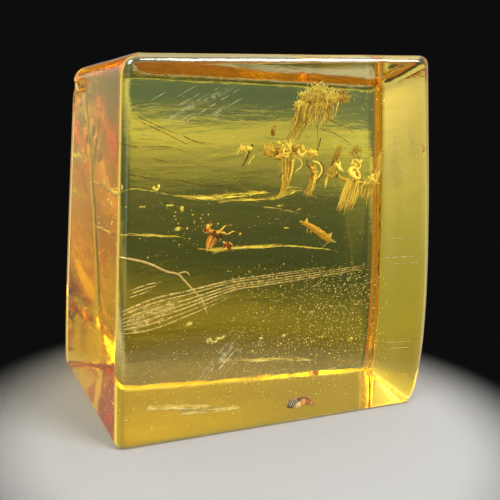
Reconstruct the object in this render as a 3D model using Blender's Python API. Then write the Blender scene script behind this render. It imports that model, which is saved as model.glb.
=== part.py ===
"""Amber fossil: a polished block of clear amber that stands on its flat underside.

A sprig of fine flower parts, a fly, a slender midge and a small beetle are sealed in it. The clear
block is parted on one slanted plane that runs through every inclusion, and each inclusion lies in a
pocket that opens on that plane. The origin is at the middle of the underside, X runs across the wide
front face, Y into the block from the front, and Z up.
"""

import math
import random

import bmesh
import bpy
from mathutils import Matrix, Vector

MM = 0.001
CAP_WELD = 1e-8

# Block, in millimetres from its lower left front corner
WIDTH = 15.0
DEPTH = 10.0
HEIGHT = 16.0
CORNERS = {
    ("left", "front", "bottom"): (0.18, 0.0, 0.0),
    ("right", "front", "bottom"): (14.55, 0.0, 0.0),
    ("left", "back", "bottom"): (0.0, 10.0, 0.0),
    ("right", "back", "bottom"): (14.77, 7.96, 0.0),
    ("left", "front", "top"): (0.36, 0.0, 15.44),
    ("right", "front", "top"): (13.72, 0.0, 16.0),
    ("left", "back", "top"): (0.41, 9.12, 14.84),
    ("right", "back", "top"): (14.61, 8.96, 14.65),
}
RIGHT_BULGE = 0.70
LEFT_BULGE = 0.10
FACE_CUTS = 5
ROUNDING = 1.0
ROUNDING_STEPS = 3
EDGE_SHARE = {
    "front upright": 0.40,
    "left front upright": 0.42,
    "left back upright": 0.55,
    "back upright": 0.50,
    "top": 0.42,
    "left top": 0.75,
    "bottom": 0.24,
    "left bottom": 0.36,
}

# Parting plane: how far back it lies at the bottom, and how much further per millimetre of height
PARTING_FOOT = 0.615
PARTING_SLOPE = 0.338
PARTING_GAP = 0.30
SPACE_REACH = 40.0

# Layer of the inclusions on that plane: its own x and z start at this corner, at this scale
LAYER_CORNER = (-0.03, 0.24)
LAYER_SCALE = 0.98

# Pockets: outlines in the layer as (x, z), and half depths across it
SPRIG_POCKET = [
    (5.95, 10.75), (5.95, 12.45), (7.3, 13.0), (8.5, 13.25), (8.65, 14.2), (9.3, 14.72),
    (10.2, 14.88), (11.6, 14.88), (12.5, 14.65), (12.55, 13.4), (14.15, 12.5), (14.15, 9.4),
    (12.6, 8.45), (10.75, 8.45), (10.4, 9.2), (7.8, 9.2), (7.2, 10.4),
]
SPRIG_POCKET_HALF = 0.85
FLY_POCKET = [(4.15, 7.1), (4.15, 8.9), (5.2, 9.15), (6.75, 8.95), (6.75, 7.3), (5.2, 6.95)]
FLY_POCKET_HALF = 0.70
MIDGE_POCKET = [(9.05, 8.1), (9.05, 8.95), (9.85, 8.95), (11.5, 7.85), (11.5, 7.2), (10.6, 7.2)]
MIDGE_POCKET_HALF = 0.55
BEETLE_POCKET = [(7.92, 0.25), (7.92, 0.95), (8.3, 1.1), (9.65, 1.1), (10.02, 0.95), (10.02, 0.25),
                 (9.65, 0.12), (8.3, 0.12)]
BEETLE_POCKET_HALF = 0.46
POCKET_ROUNDING = 0.10

# Cracks: flat slits that run back from the layer, as (x, z) along their near edge and reach
CRACKS = [
    ([(1.60, 10.00), (2.70, 9.86), (4.30, 9.55), (5.75, 9.50), (7.40, 9.62), (9.50, 9.80),
      (10.40, 9.56)], 2.0),
    ([(1.10, 8.07), (2.50, 7.93), (4.04, 7.80)], 1.5),
    ([(4.70, 7.20), (6.30, 7.18), (9.14, 7.22), (11.65, 6.93)], 1.6),
    ([(5.90, 1.88), (7.80, 1.74), (10.73, 1.52)], 1.4),
    ([(1.75, 0.95), (3.20, 0.78), (4.80, 0.60)], 1.3),
]
CRACK_WIDTH = 0.08
CRACK_DROP = 0.075
CRACK_MOUTH = 0.10

# Flower tuft
TUFT_SPINE = [(9.40, 13.74), (10.00, 13.98), (10.75, 14.12), (11.45, 14.10)]
TUFT_SPINE_RADIUS = 0.28
TUFT_HAIRS = 42
TUFT_HAIR_LENGTH = (0.44, 0.72)
TUFT_HAIR_RADII = (0.050, 0.050, 0.025)
TUFT_TOP = 14.45
TUFT_LOBES = [((9.40, 13.76), (9.20, 13.66), 0.20), ((11.45, 14.05), (12.02, 14.20), 0.18)]
TUFT_ROWS = [((9.45, 13.78), (11.30, 14.08)), ((9.08, 12.97), (11.12, 13.20)),
             ((8.82, 12.45), (10.75, 12.72))]
TUFT_BUNDLE = 10
TUFT_BUNDLE_DEPTH = 0.20
TUFT_STRANDS = [
    [(9.50, 13.70), (9.05, 12.90), (8.85, 12.45), (8.68, 12.10)],
    [(10.62, 14.00), (10.34, 12.91), (10.31, 12.30), (10.22, 11.86)],
]

# Row of florets on a thin stem
FLORET_STEM = [(7.70, 11.70), (8.25, 11.74), (8.84, 11.72), (9.50, 11.70), (9.98, 11.50)]
FLORET_STEM_RADIUS = 0.075
FLORET_BEADS = [
    ((7.88, 11.71), 0.25), ((8.24, 11.70), 0.17), ((8.30, 11.94), 0.12), ((8.50, 11.56), 0.16),
    ((9.08, 11.74), 0.15), ((9.46, 11.78), 0.12), ((9.98, 11.52), 0.20),
]
STAR_CENTRE = (8.84, 11.72)
STAR_RADIUS = 0.17
STAR_PETALS = 6
STAR_FAN = (0.40, 2.70)
STAR_PETAL_LENGTH = 0.50
STAR_PETAL_HALF_WIDTH = 0.085
FLORET_PAD = ((8.62, 11.45), (8.20, 11.42), 0.09)
FLORET_RINGS = [((9.42, 11.62), 0.17, 0.06, 0.85)]
FLORET_STRANDS = [
    [(8.90, 11.68), (9.28, 11.36), (9.42, 11.10), (9.33, 10.92), (9.10, 10.78)],
    [(9.98, 11.50), (10.26, 11.14), (10.42, 10.90), (10.35, 10.62), (10.06, 10.42)],
    [(9.94, 11.45), (9.72, 11.22), (9.72, 11.00), (9.96, 10.72)],
]
ARC_BUD = [(9.98, 11.45), (10.00, 11.08), (10.02, 10.72), (10.04, 10.40)]
ARC_BUD_RADIUS = 0.13
FIRST_HANGING_ROWS = [((8.40, 11.54), (8.88, 11.68)), ((8.32, 10.80), (8.95, 10.80)),
                      ((8.42, 10.14), (8.64, 10.16)), ((8.12, 9.58), (8.34, 9.60))]
SECOND_HANGING_ROWS = [((9.96, 10.80), (10.08, 10.60)), ((9.70, 10.14), (10.02, 10.12)),
                       ((9.42, 9.66), (9.82, 9.60))]
HANGING_STRANDS = 5
HANGING_DEPTH = 0.10

# Brush of parallel stamens, with its rings and loose strands
BRUSH_BAR = [(11.05, 10.72), (11.55, 10.42), (12.10, 10.32), (12.70, 10.24), (13.15, 10.26)]
BRUSH_BAR_RADIUS = 0.11
BRUSH_FIBRES = 10
BRUSH_ROWS = [((11.72, 10.38), (12.36, 10.28)), ((11.36, 9.58), (12.22, 9.66)),
              ((11.10, 8.88), (11.86, 8.90))]
BRUSH_DEPTH = 0.22
BRUSH_FIBRE_RADIUS = 0.048
RINGS = [((12.12, 10.62), 0.30, 0.085, 0.78), ((13.20, 10.42), 0.17, 0.065, 0.80)]
RING_STEPS = 10
BRUSH_PETALS = [((11.10, 11.06), (11.50, 10.70), 0.12), ((11.12, 10.68), (10.64, 10.06), 0.10)]
BRUSH_STRANDS = [
    [(12.02, 10.86), (12.05, 11.18), (12.24, 11.24), (12.42, 11.08), (12.36, 10.88), (12.18, 10.84)],
    [(12.22, 11.22), (12.22, 11.50), (12.30, 11.84)],
    [(12.12, 11.22), (12.08, 11.48), (12.10, 11.72)],
    [(11.10, 10.72), (11.12, 11.10), (11.30, 11.58), (11.50, 12.02)],
    [(11.20, 10.66), (11.26, 11.10), (11.44, 11.60), (11.66, 12.06)],
    [(13.08, 10.28), (13.26, 10.95), (13.56, 11.76)],
    [(13.20, 10.32), (13.46, 11.00), (13.68, 11.80)],
    [(13.30, 10.44), (13.62, 11.05), (13.80, 11.84)],
    [(12.62, 10.24), (12.46, 9.85), (12.38, 9.54)],
    [(12.90, 10.22), (12.78, 9.80), (12.66, 9.46)],
    [(12.98, 10.24), (12.86, 9.62), (12.78, 9.18)],
    [(13.12, 10.26), (13.12, 9.80), (13.02, 9.28)],
]
STRAND_RADIUS = 0.050

# Every bundle of strands: rings along a strand, how much thinner its tip is, how far its ends differ
BUNDLE_RINGS = 6
BUNDLE_TAPER = 0.45
BUNDLE_UNEVEN = 0.12

# Small loose piece of the plant: a slanted rod with a tuft on it
ROD = [(6.98, 12.02), (6.78, 11.68), (6.62, 11.36), (6.48, 11.08)]
ROD_RADIUS = 0.070
ROD_TUFT = (6.72, 11.72)
ROD_BUD = (0.16, 0.12)
ROD_HAIRS = 8
ROD_HAIR_LENGTH = (0.24, 0.34)
ROD_HAIR_RADII = (0.045, 0.028)

# Fly: body parts as (centre x, z), (half length, half width), tilt in degrees
FLY_PARTS = [
    ((4.84, 8.36), (0.20, 0.14), 75.0),
    ((5.06, 8.19), (0.23, 0.17), -25.0),
    ((5.30, 8.06), (0.20, 0.14), -30.0),
]
FLY_WINGS = [((5.00, 8.14), (4.68, 7.44), 0.21), ((5.26, 8.02), (5.80, 7.62), 0.14)]
FLY_LEGS = [
    [(5.08, 8.20), (5.36, 8.30), (5.58, 8.50), (5.90, 8.52)],
    [(5.20, 8.10), (5.48, 8.22), (5.66, 8.14), (5.94, 8.24), (6.24, 8.16)],
    [(4.90, 8.42), (4.68, 8.52), (4.64, 8.30), (4.52, 8.22)],
    [(4.88, 8.46), (4.80, 8.66), (4.62, 8.74)],
    [(5.30, 8.02), (5.52, 7.90), (5.70, 7.82), (5.94, 7.84)],
]
LEG_RADIUS = 0.040
LEG_WAVE = 0.12
WING_THICKNESS = 0.030

# Midge: a thin curved body with a fine tail and short spines
MIDGE_BODY = [(9.40, 8.56), (9.75, 8.34), (10.15, 8.08), (10.55, 7.80), (10.92, 7.58)]
MIDGE_RADII = (0.12, 0.17, 0.16, 0.12, 0.06)
MIDGE_LEGS = [
    [(9.60, 8.44), (9.42, 8.30), (9.38, 8.16)],
    [(9.90, 8.24), (9.86, 8.02), (9.98, 7.88)],
    [(10.35, 7.95), (10.55, 8.02), (10.72, 7.98)],
    [(10.80, 7.64), (11.00, 7.52), (11.18, 7.54)],
]

# Beetle: a ribbed dark abdomen, a pale middle, a round head and short bristles
BEETLE_PARTS = [
    ((8.52, 0.60), (0.26, 0.16), 15.0),
    ((8.92, 0.62), (0.26, 0.17), 0.0),
    ((9.24, 0.60), (0.18, 0.15), 0.0),
    ((9.48, 0.56), (0.19, 0.12), -15.0),
]
BEETLE_BRISTLE_SPAN = (8.42, 9.30)
BEETLE_BRISTLES = 8
BEETLE_BRISTLE_LENGTH = 0.16
BEETLE_BRISTLE_RADII = (0.035, 0.022)
BEETLE_BACK = 0.66

HAIR_SEED = 11
COLOURS = {
    "amber": ((0.80, 0.52, 0.08, 1.0), 0.05, 0.0),
    "flower": ((0.62, 0.45, 0.16, 1.0), 0.55, 0.0),
    "fly": ((0.20, 0.05, 0.02, 1.0), 0.40, 0.0),
    "midge": ((0.62, 0.30, 0.07, 1.0), 0.45, 0.0),
    "beetle": ((0.03, 0.03, 0.06, 1.0), 0.35, 0.0),
}


def clear_scene():
    for old in list(bpy.data.objects):
        bpy.data.objects.remove(old, do_unlink=True)


def material(name):
    made = bpy.data.materials.get(name)
    if made is None:
        colour, roughness, metallic = COLOURS[name]
        made = bpy.data.materials.new(name)
        made.use_nodes = True
        shader = made.node_tree.nodes["Principled BSDF"]
        shader.inputs["Base Color"].default_value = colour
        shader.inputs["Roughness"].default_value = roughness
        shader.inputs["Metallic"].default_value = metallic
        made.diffuse_color = colour
    return made


def from_corner(x, y, z):
    """A point given in millimetres from the block's lower left front corner."""
    return Vector(((x - WIDTH / 2) * MM, (y - DEPTH / 2) * MM, z * MM))


PARTING_NORMAL = Vector((0.0, 1.0, -PARTING_SLOPE)).normalized()
PARTING_UP = Vector((0.0, PARTING_SLOPE, 1.0)).normalized()


def in_block(x, z):
    """Where a place of the inclusions' layer lies in the block, seen from the front."""
    return LAYER_CORNER[0] + LAYER_SCALE * x, LAYER_CORNER[1] + LAYER_SCALE * z


def on_parting(x, z, back=0.0):
    """A point of the layer on the parting plane, or behind it by back millimetres."""
    across, up = in_block(x, z)
    return from_corner(across, PARTING_FOOT + PARTING_SLOPE * up, up) + PARTING_NORMAL * back * MM


def add_object(name, mesh):
    made = bpy.data.objects.new(name, mesh)
    bpy.context.scene.collection.objects.link(made)
    return made


def mesh_of(bm, name):
    mesh = bpy.data.meshes.new(name)
    bmesh.ops.recalc_face_normals(bm, faces=bm.faces)
    bm.to_mesh(mesh)
    bm.free()
    return mesh


def evaluated_mesh(source, name):
    """The object's mesh with its modifiers, as a new mesh. The object itself is removed."""
    graph = bpy.context.evaluated_depsgraph_get()
    mesh = bpy.data.meshes.new_from_object(source.evaluated_get(graph))
    mesh.name = name
    bpy.data.objects.remove(source, do_unlink=True)
    return mesh


def hide_as_cutter(cutter):
    cutter.hide_render = True
    cutter.display_type = "WIRE"
    return cutter


def add_boolean(target, cutter, operation, self_crossing=False):
    cut = target.modifiers.new(cutter.name, "BOOLEAN")
    cut.object = cutter
    cut.operation = operation
    cut.solver = "EXACT"
    cut.use_self = self_crossing
    cut.double_threshold = 1e-8
    return cut


def finish_piece(piece, slot, smooth_angle=35.0):
    piece.data.materials.clear()
    piece.data.materials.append(material(slot))
    piece.data.shade_smooth()
    piece.data.set_sharp_from_angle(angle=math.radians(smooth_angle))


# Block


def corner(side, face, level):
    return Vector(CORNERS[(side, face, level)])


def block_point(u, v, w):
    """Surface point for shares u across, v into and w up the block, in millimetres."""
    rows = []
    for level in ("bottom", "top"):
        front = corner("left", "front", level).lerp(corner("right", "front", level), u)
        back = corner("left", "back", level).lerp(corner("right", "back", level), u)
        rows.append(front.lerp(back, v))
    point = rows[0].lerp(rows[1], w)
    swell = math.sin(math.pi * w ** 0.6) if w > 0 else 0.0
    point.x += RIGHT_BULGE * u * (1 - 0.6 * v) * swell
    point.x -= LEFT_BULGE * (1 - u) * v * swell
    return point


def edge_share(a, b):
    """How round the edge between two points of the unit cube is, or 0 inside a face."""
    at = {axis: a[axis] for axis in range(3) if abs(a[axis] - b[axis]) < 1e-6 and a[axis] in (0.0, 1.0)}
    if len(at) < 2:
        return 0.0
    left = at.get(0) == 0.0
    if 2 in at:
        level = "top" if at[2] == 1.0 else "bottom"
        return EDGE_SHARE["left " + level if left and 0 in at else level]
    if left:
        return EDGE_SHARE["left front upright" if at[1] == 0.0 else "left back upright"]
    return EDGE_SHARE["front upright" if at[1] == 0.0 else "back upright"]


def block_mesh():
    bm = bmesh.new()
    bmesh.ops.create_cube(bm, size=1.0, matrix=Matrix.Translation((0.5, 0.5, 0.5)))
    bmesh.ops.subdivide_edges(bm, edges=bm.edges, cuts=FACE_CUTS, use_grid_fill=True)
    weight = bm.edges.layers.float.new("bevel_weight_edge")
    for edge in bm.edges:
        ends = [[round(c, 5) for c in vert.co] for vert in edge.verts]
        edge[weight] = edge_share(*ends)
    for vert in bm.verts:
        point = block_point(*[min(max(c, 0.0), 1.0) for c in vert.co])
        vert.co = from_corner(*point)
    rough = add_object("rough_block", mesh_of(bm, "rough_block"))
    rounding = rough.modifiers.new("rounding", "BEVEL")
    rounding.limit_method = "WEIGHT"
    rounding.width = ROUNDING * MM
    rounding.segments = ROUNDING_STEPS
    mesh = evaluated_mesh(rough, "block")
    fit_to_size(mesh)
    bm = bmesh.new()
    bm.from_mesh(mesh)
    bmesh.ops.triangulate(bm, faces=bm.faces)
    bm.to_mesh(mesh)
    bm.free()
    return mesh


def fit_to_size(mesh):
    """Rounding takes a little off the corners, so the block is brought back to its measured size."""
    low = [min(vert.co[axis] for vert in mesh.vertices) for axis in range(3)]
    high = [max(vert.co[axis] for vert in mesh.vertices) for axis in range(3)]
    target_low = from_corner(0.0, 0.0, 0.0)
    target_high = from_corner(WIDTH, DEPTH, HEIGHT)
    for vert in mesh.vertices:
        for axis in range(3):
            share = (vert.co[axis] - low[axis]) / (high[axis] - low[axis])
            vert.co[axis] = target_low[axis] + share * (target_high[axis] - target_low[axis])


def half_space(name, side):
    """A large slab on one side of the parting plane: side -1 is in front and 1 is behind."""
    bm = bmesh.new()
    frame = Matrix((Vector((1, 0, 0)), PARTING_NORMAL, PARTING_UP)).transposed().to_4x4()
    middle = on_parting(WIDTH / 2, HEIGHT / 2, side * (PARTING_GAP + SPACE_REACH) / 2)
    size = Matrix.Diagonal((SPACE_REACH * MM, SPACE_REACH * MM, SPACE_REACH * MM, 1.0))
    bmesh.ops.create_cube(bm, size=1.0, matrix=Matrix.Translation(middle) @ frame @ size)
    return hide_as_cutter(add_object(name, mesh_of(bm, name)))


def pocket(name, outline, half):
    """A cutter with that outline, from half in front of the parting plane to half behind it."""
    bm = bmesh.new()
    base = bm.faces.new([bm.verts.new(on_parting(x, z, -half)) for x, z in outline])
    grown = bmesh.ops.extrude_face_region(bm, geom=[base])
    moved = [item for item in grown["geom"] if isinstance(item, bmesh.types.BMVert)]
    bmesh.ops.translate(bm, verts=moved, vec=PARTING_NORMAL * 2 * half * MM)
    cutter = add_object(name, mesh_of(bm, name))
    soft = cutter.modifiers.new("soft edge", "BEVEL")
    soft.width = POCKET_ROUNDING * MM
    soft.segments = 2
    return hide_as_cutter(cutter)


def crack(name, points, reach):
    """A thin slit cutter from the gap between the halves to reach millimetres behind the parting plane."""
    bm = bmesh.new()
    rims = []
    for x, z in [in_block(*place) for place in points]:
        plane = PARTING_FOOT + PARTING_SLOPE * z
        near = Vector((x, plane - CRACK_MOUTH, z))
        far = Vector((x, plane + reach, z - CRACK_DROP * reach))
        half = Vector((0.0, 0.0, CRACK_WIDTH / 2))
        rim = (near + half, far + half, far - half, near - half)
        rims.append([bm.verts.new(from_corner(*point)) for point in rim])
    for one, other in zip(rims, rims[1:]):
        for k in range(4):
            bm.faces.new((one[k], one[(k + 1) % 4], other[(k + 1) % 4], other[k]))
    bm.faces.new(rims[0])
    bm.faces.new(rims[-1])
    return hide_as_cutter(add_object(name, mesh_of(bm, name)))


def build_halves():
    cracks = [crack(f"crack_{number}", *sizes) for number, sizes in enumerate(CRACKS)]
    pockets = [
        pocket("sprig_pocket", SPRIG_POCKET, SPRIG_POCKET_HALF),
        pocket("fly_pocket", FLY_POCKET, FLY_POCKET_HALF),
        pocket("midge_pocket", MIDGE_POCKET, MIDGE_POCKET_HALF),
        pocket("beetle_pocket", BEETLE_POCKET, BEETLE_POCKET_HALF),
    ]
    whole = block_mesh()
    for name, side in (("amber_front", -1), ("amber_back", 1)):
        half = add_object(name, whole.copy())
        add_boolean(half, half_space(name + "_space", side), "INTERSECT")
        for cutter in pockets + (cracks if side > 0 else []):
            add_boolean(half, cutter, "DIFFERENCE")
        finish_piece(half, "amber", 30.0)


# Inclusions: each is a core joined with everything that grows from it


def add_blob(bm, centre, half_length, half_width, tilt=0.0, half_depth=None, detail=1):
    """A squashed ball on the parting plane. tilt turns its length from X towards up, in degrees."""
    depth = half_width if half_depth is None else half_depth
    frame = Matrix((Vector((1, 0, 0)), PARTING_NORMAL, PARTING_UP)).transposed().to_4x4()
    turn = Matrix.Rotation(math.radians(-tilt), 4, "Y")
    size = Matrix.Diagonal((half_length * MM, depth * MM, half_width * MM, 1.0))
    place = Matrix.Translation(centre) @ frame @ turn @ size
    bmesh.ops.create_icosphere(bm, subdivisions=detail, radius=1.0, matrix=place)


def smooth_path(points, count):
    """count points along a smooth curve through the given ones (Catmull-Rom)."""
    ends = [points[0] * 2 - points[1], *points, points[-1] * 2 - points[-2]]
    path = []
    for step in range(count):
        along = step * (len(points) - 1) / (count - 1)
        part = min(int(along), len(points) - 2)
        t = along - part
        a, b, c, d = ends[part:part + 4]
        path.append((2 * b + (c - a) * t + (2 * a - 5 * b + 4 * c - d) * t * t
                     + (3 * b - a - 3 * c + d) * t ** 3) / 2)
    return path


def add_tubes(bm, tubes, detail=0, closed=False):
    """Tapered tubes with capped ends, or closed rings. Each is (points, radii at its points), in metres."""
    curve = bpy.data.curves.new("tubes", "CURVE")
    curve.dimensions = "3D"
    curve.bevel_depth = 1.0
    curve.bevel_resolution = detail
    curve.use_fill_caps = True
    for points, radii in tubes:
        spline = curve.splines.new("POLY")
        spline.use_cyclic_u = closed
        spline.points.add(len(points) - 1)
        for knot, point, radius in zip(spline.points, points, radii):
            knot.co = (*point, 1.0)
            knot.radius = radius
    mesh = evaluated_mesh(add_object("tubes", curve), "tubes")
    capped = bmesh.new()
    capped.from_mesh(mesh)
    bmesh.ops.remove_doubles(capped, verts=capped.verts, dist=CAP_WELD)
    capped.to_mesh(mesh)
    capped.free()
    bm.from_mesh(mesh)
    bpy.data.meshes.remove(mesh)
    bpy.data.curves.remove(curve)


def strand(outline, radius, rings=6, wave=0.0, thin_end=0.5):
    """A tapered strand along (x, z) points. wave sways it across the parting plane."""
    last = len(outline) - 1
    points = [on_parting(x, z, wave * math.sin(math.pi * i / last)) for i, (x, z) in enumerate(outline)]
    path = smooth_path(points, rings)
    radii = [radius * MM * (1 - (1 - thin_end) * i / (rings - 1)) for i in range(rings)]
    return path, radii


def bundle(rows, count, depth, radius):
    """Strands side by side that cross each row, a line of the parting plane, at their own share of it."""
    radii = [radius * MM * (1 - BUNDLE_TAPER * i / (BUNDLE_RINGS - 1)) for i in range(BUNDLE_RINGS)]
    strands = []
    for number in range(count):
        share = number / (count - 1)
        back = depth * math.sin(number * 2.4)
        lift = BUNDLE_UNEVEN * max(math.sin(number * 1.7), 0.0)
        knots = []
        for row in rows:
            (x0, z0), (x1, z1) = row
            x = x0 + (x1 - x0) * share
            z = z0 + (z1 - z0) * share
            knots.append(on_parting(x, z + lift if row is rows[-1] else z, 0.0 if row is rows[0] else back))
        strands.append((smooth_path(knots, BUNDLE_RINGS), radii))
    return strands


def add_petal(bm, root, tip, half_width, half_depth=0.07):
    """A pointed oval leaf from root to tip."""
    (x0, z0), (x1, z1) = root, tip
    reach = math.hypot(x1 - x0, z1 - z0)
    tilt = math.degrees(math.atan2(z1 - z0, x1 - x0))
    middle = on_parting((x0 + x1) / 2, (z0 + z1) / 2)
    add_blob(bm, middle, reach / 2 + 0.08, half_width, tilt, half_depth)


def joined_piece(name, slot, core, growth):
    """One closed body: the core with everything in growth, which may cross itself."""
    piece = add_object(name, mesh_of(growth, name))
    inner = hide_as_cutter(add_object(name + "_core", mesh_of(core, name + "_core")))
    add_boolean(piece, inner, "UNION", self_crossing=True)
    finish_piece(piece, slot)
    return piece


def flower_tuft():
    draw = random.Random(HAIR_SEED)
    core = bmesh.new()
    spine = [on_parting(x, z) for x, z in TUFT_SPINE]
    radius = TUFT_SPINE_RADIUS * MM
    radii = [radius * 0.6, radius, radius, radius, radius, radius * 0.6]
    add_tubes(core, [(smooth_path(spine, len(radii)), radii)], 1)
    growth = bmesh.new()
    hairs = []
    for number, root in enumerate(smooth_path(spine, TUFT_HAIRS)):
        share = (number + 0.5) / TUFT_HAIRS
        angle = 2 * math.pi * number * 0.381966 + draw.uniform(-0.4, 0.4)
        lean = (share - 0.5) * 1.3 + draw.uniform(-0.4, 0.4)
        out = (Vector((1, 0, 0)) * lean + PARTING_UP * math.cos(angle)
               + PARTING_NORMAL * 0.55 * math.sin(angle)).normalized()
        side = out.cross(Vector((1, 0, 0))) * draw.uniform(-0.5, 0.5)
        length = draw.uniform(*TUFT_HAIR_LENGTH) * MM
        tip = root + out * length + side * length * 0.4
        tip.z = min(tip.z, TUFT_TOP * MM)
        middle = root.lerp(tip, 0.5) + side * length * 0.3
        hairs.append(([root, middle, tip], [radius * MM for radius in TUFT_HAIR_RADII]))
    hairs += bundle(TUFT_ROWS, TUFT_BUNDLE, TUFT_BUNDLE_DEPTH, STRAND_RADIUS)
    hairs += [strand(outline, STRAND_RADIUS) for outline in TUFT_STRANDS]
    add_tubes(growth, hairs)
    for root, tip, half_width in TUFT_LOBES:
        add_petal(growth, root, tip, half_width)
    joined_piece("flower_tuft", "flower", core, growth)


def floret_row():
    core = bmesh.new()
    add_tubes(core, [strand(FLORET_STEM, FLORET_STEM_RADIUS, 9, thin_end=0.9)], 1)
    growth = bmesh.new()
    tubes = [strand(outline, STRAND_RADIUS) for outline in FLORET_STRANDS]
    tubes.append(strand(ARC_BUD, ARC_BUD_RADIUS, 6, thin_end=0.7))
    for rows in (FIRST_HANGING_ROWS, SECOND_HANGING_ROWS):
        tubes += bundle(rows, HANGING_STRANDS, HANGING_DEPTH, STRAND_RADIUS)
    add_tubes(growth, tubes)
    add_tubes(growth, [ring(*sizes) for sizes in FLORET_RINGS], closed=True)
    add_petal(growth, *FLORET_PAD)
    for (x, z), radius in FLORET_BEADS:
        add_blob(growth, on_parting(x, z), radius * 1.15, radius * 0.9, 30.0 * math.sin(9 * x))
    centre_x, centre_z = STAR_CENTRE
    add_blob(growth, on_parting(centre_x, centre_z), STAR_RADIUS, STAR_RADIUS)
    for number in range(STAR_PETALS):
        first, last = STAR_FAN
        angle = first + (last - first) * number / (STAR_PETALS - 1)
        tip = (centre_x + STAR_PETAL_LENGTH * math.cos(angle), centre_z + STAR_PETAL_LENGTH * math.sin(angle))
        add_petal(growth, STAR_CENTRE, tip, STAR_PETAL_HALF_WIDTH)
    joined_piece("floret_row", "flower", core, growth)


def ring(centre, radius, thickness, squash):
    """A closed ring on the parting plane, flattened up and down by squash, for add_tubes."""
    x, z = centre
    turns = [2 * math.pi * step / RING_STEPS for step in range(RING_STEPS)]
    path = [on_parting(x + radius * math.cos(a), z + radius * squash * math.sin(a)) for a in turns]
    return path, [thickness * MM] * RING_STEPS


def stamen_brush():
    core = bmesh.new()
    add_tubes(core, [strand(BRUSH_BAR, BRUSH_BAR_RADIUS, 10, thin_end=0.8)], 1)
    growth = bmesh.new()
    tubes = bundle(BRUSH_ROWS, BRUSH_FIBRES, BRUSH_DEPTH, BRUSH_FIBRE_RADIUS)
    tubes += [strand(outline, STRAND_RADIUS) for outline in BRUSH_STRANDS]
    add_tubes(growth, tubes)
    add_tubes(growth, [ring(*sizes) for sizes in RINGS], closed=True)
    for root, tip, half_width in BRUSH_PETALS:
        add_petal(growth, root, tip, half_width)
    joined_piece("stamen_brush", "flower", core, growth)


def plant_fragment():
    draw = random.Random(HAIR_SEED + 2)
    core = bmesh.new()
    add_tubes(core, [strand(ROD, ROD_RADIUS, 5, thin_end=0.8)], 1)
    growth = bmesh.new()
    x, z = ROD_TUFT
    add_blob(growth, on_parting(x, z), *ROD_BUD, tilt=30.0)
    tubes = []
    for number in range(ROD_HAIRS):
        angle = 2 * math.pi * number / ROD_HAIRS
        reach = draw.uniform(*ROD_HAIR_LENGTH)
        back = draw.uniform(-0.15, 0.15)
        tip = on_parting(x + reach * math.cos(angle), z + reach * math.sin(angle), back)
        tubes.append(([on_parting(x, z), tip], [radius * MM for radius in ROD_HAIR_RADII]))
    add_tubes(growth, tubes)
    joined_piece("plant_fragment", "flower", core, growth)


def fly():
    core = bmesh.new()
    (x, z), (half_length, half_width), tilt = FLY_PARTS[1]
    add_blob(core, on_parting(x, z), half_length, half_width, tilt, detail=2)
    growth = bmesh.new()
    for (x, z), (half_length, half_width), tilt in (FLY_PARTS[0], FLY_PARTS[2]):
        add_blob(growth, on_parting(x, z), half_length, half_width, tilt, detail=2)
    for root, tip, half_width in FLY_WINGS:
        add_petal(growth, root, tip, half_width, WING_THICKNESS)
    legs = []
    for number, outline in enumerate(FLY_LEGS):
        wave = LEG_WAVE if number % 2 else -LEG_WAVE
        legs.append(strand(outline, LEG_RADIUS, wave=wave))
    add_tubes(growth, legs)
    joined_piece("fly", "fly", core, growth)


def midge():
    core = bmesh.new()
    points = [on_parting(x, z) for x, z in MIDGE_BODY]
    add_tubes(core, [(points, [radius * MM for radius in MIDGE_RADII])], 1)
    growth = bmesh.new()
    head_x, head_z = MIDGE_BODY[0]
    add_blob(growth, on_parting(head_x + 0.04, head_z - 0.02), 0.15, 0.13, -35.0)
    add_tubes(growth, [strand(outline, LEG_RADIUS, 4) for outline in MIDGE_LEGS])
    joined_piece("midge", "midge", core, growth)


def beetle():
    core = bmesh.new()
    (x, z), (half_length, half_width), tilt = BEETLE_PARTS[1]
    add_blob(core, on_parting(x, z), half_length, half_width, tilt, detail=2)
    growth = bmesh.new()
    for (x, z), (half_length, half_width), tilt in (BEETLE_PARTS[0], *BEETLE_PARTS[2:]):
        add_blob(growth, on_parting(x, z), half_length, half_width, tilt, detail=2)
    tubes = []
    for number in range(BEETLE_BRISTLES):
        first, last = BEETLE_BRISTLE_SPAN
        root_x = first + (last - first) * number / (BEETLE_BRISTLES - 1)
        lean = 0.08 * math.sin(number * 2.2)
        root = on_parting(root_x, BEETLE_BACK)
        tip = on_parting(root_x + lean, BEETLE_BACK + BEETLE_BRISTLE_LENGTH)
        tubes.append(([root, tip], [radius * MM for radius in BEETLE_BRISTLE_RADII]))
    add_tubes(growth, tubes)
    joined_piece("beetle", "beetle", core, growth)


def main():
    clear_scene()
    build_halves()
    flower_tuft()
    floret_row()
    stamen_brush()
    plant_fragment()
    fly()
    midge()
    beetle()


main()
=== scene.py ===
"""Looks of the amber fossil: a clear polished block with a sprig and small insects sealed in it.

Lengths named in millimetres are counted from the block's lower left front corner: X to the right along
the front face, Y into the block, Z up. The pieces are laid out like the solids they stand for.
"""

import math
import random

import bmesh
import bpy
import numpy as np
from bpy.props import FloatProperty, FloatVectorProperty, IntProperty, PointerProperty
from mathutils import Matrix, Vector, noise


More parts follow.
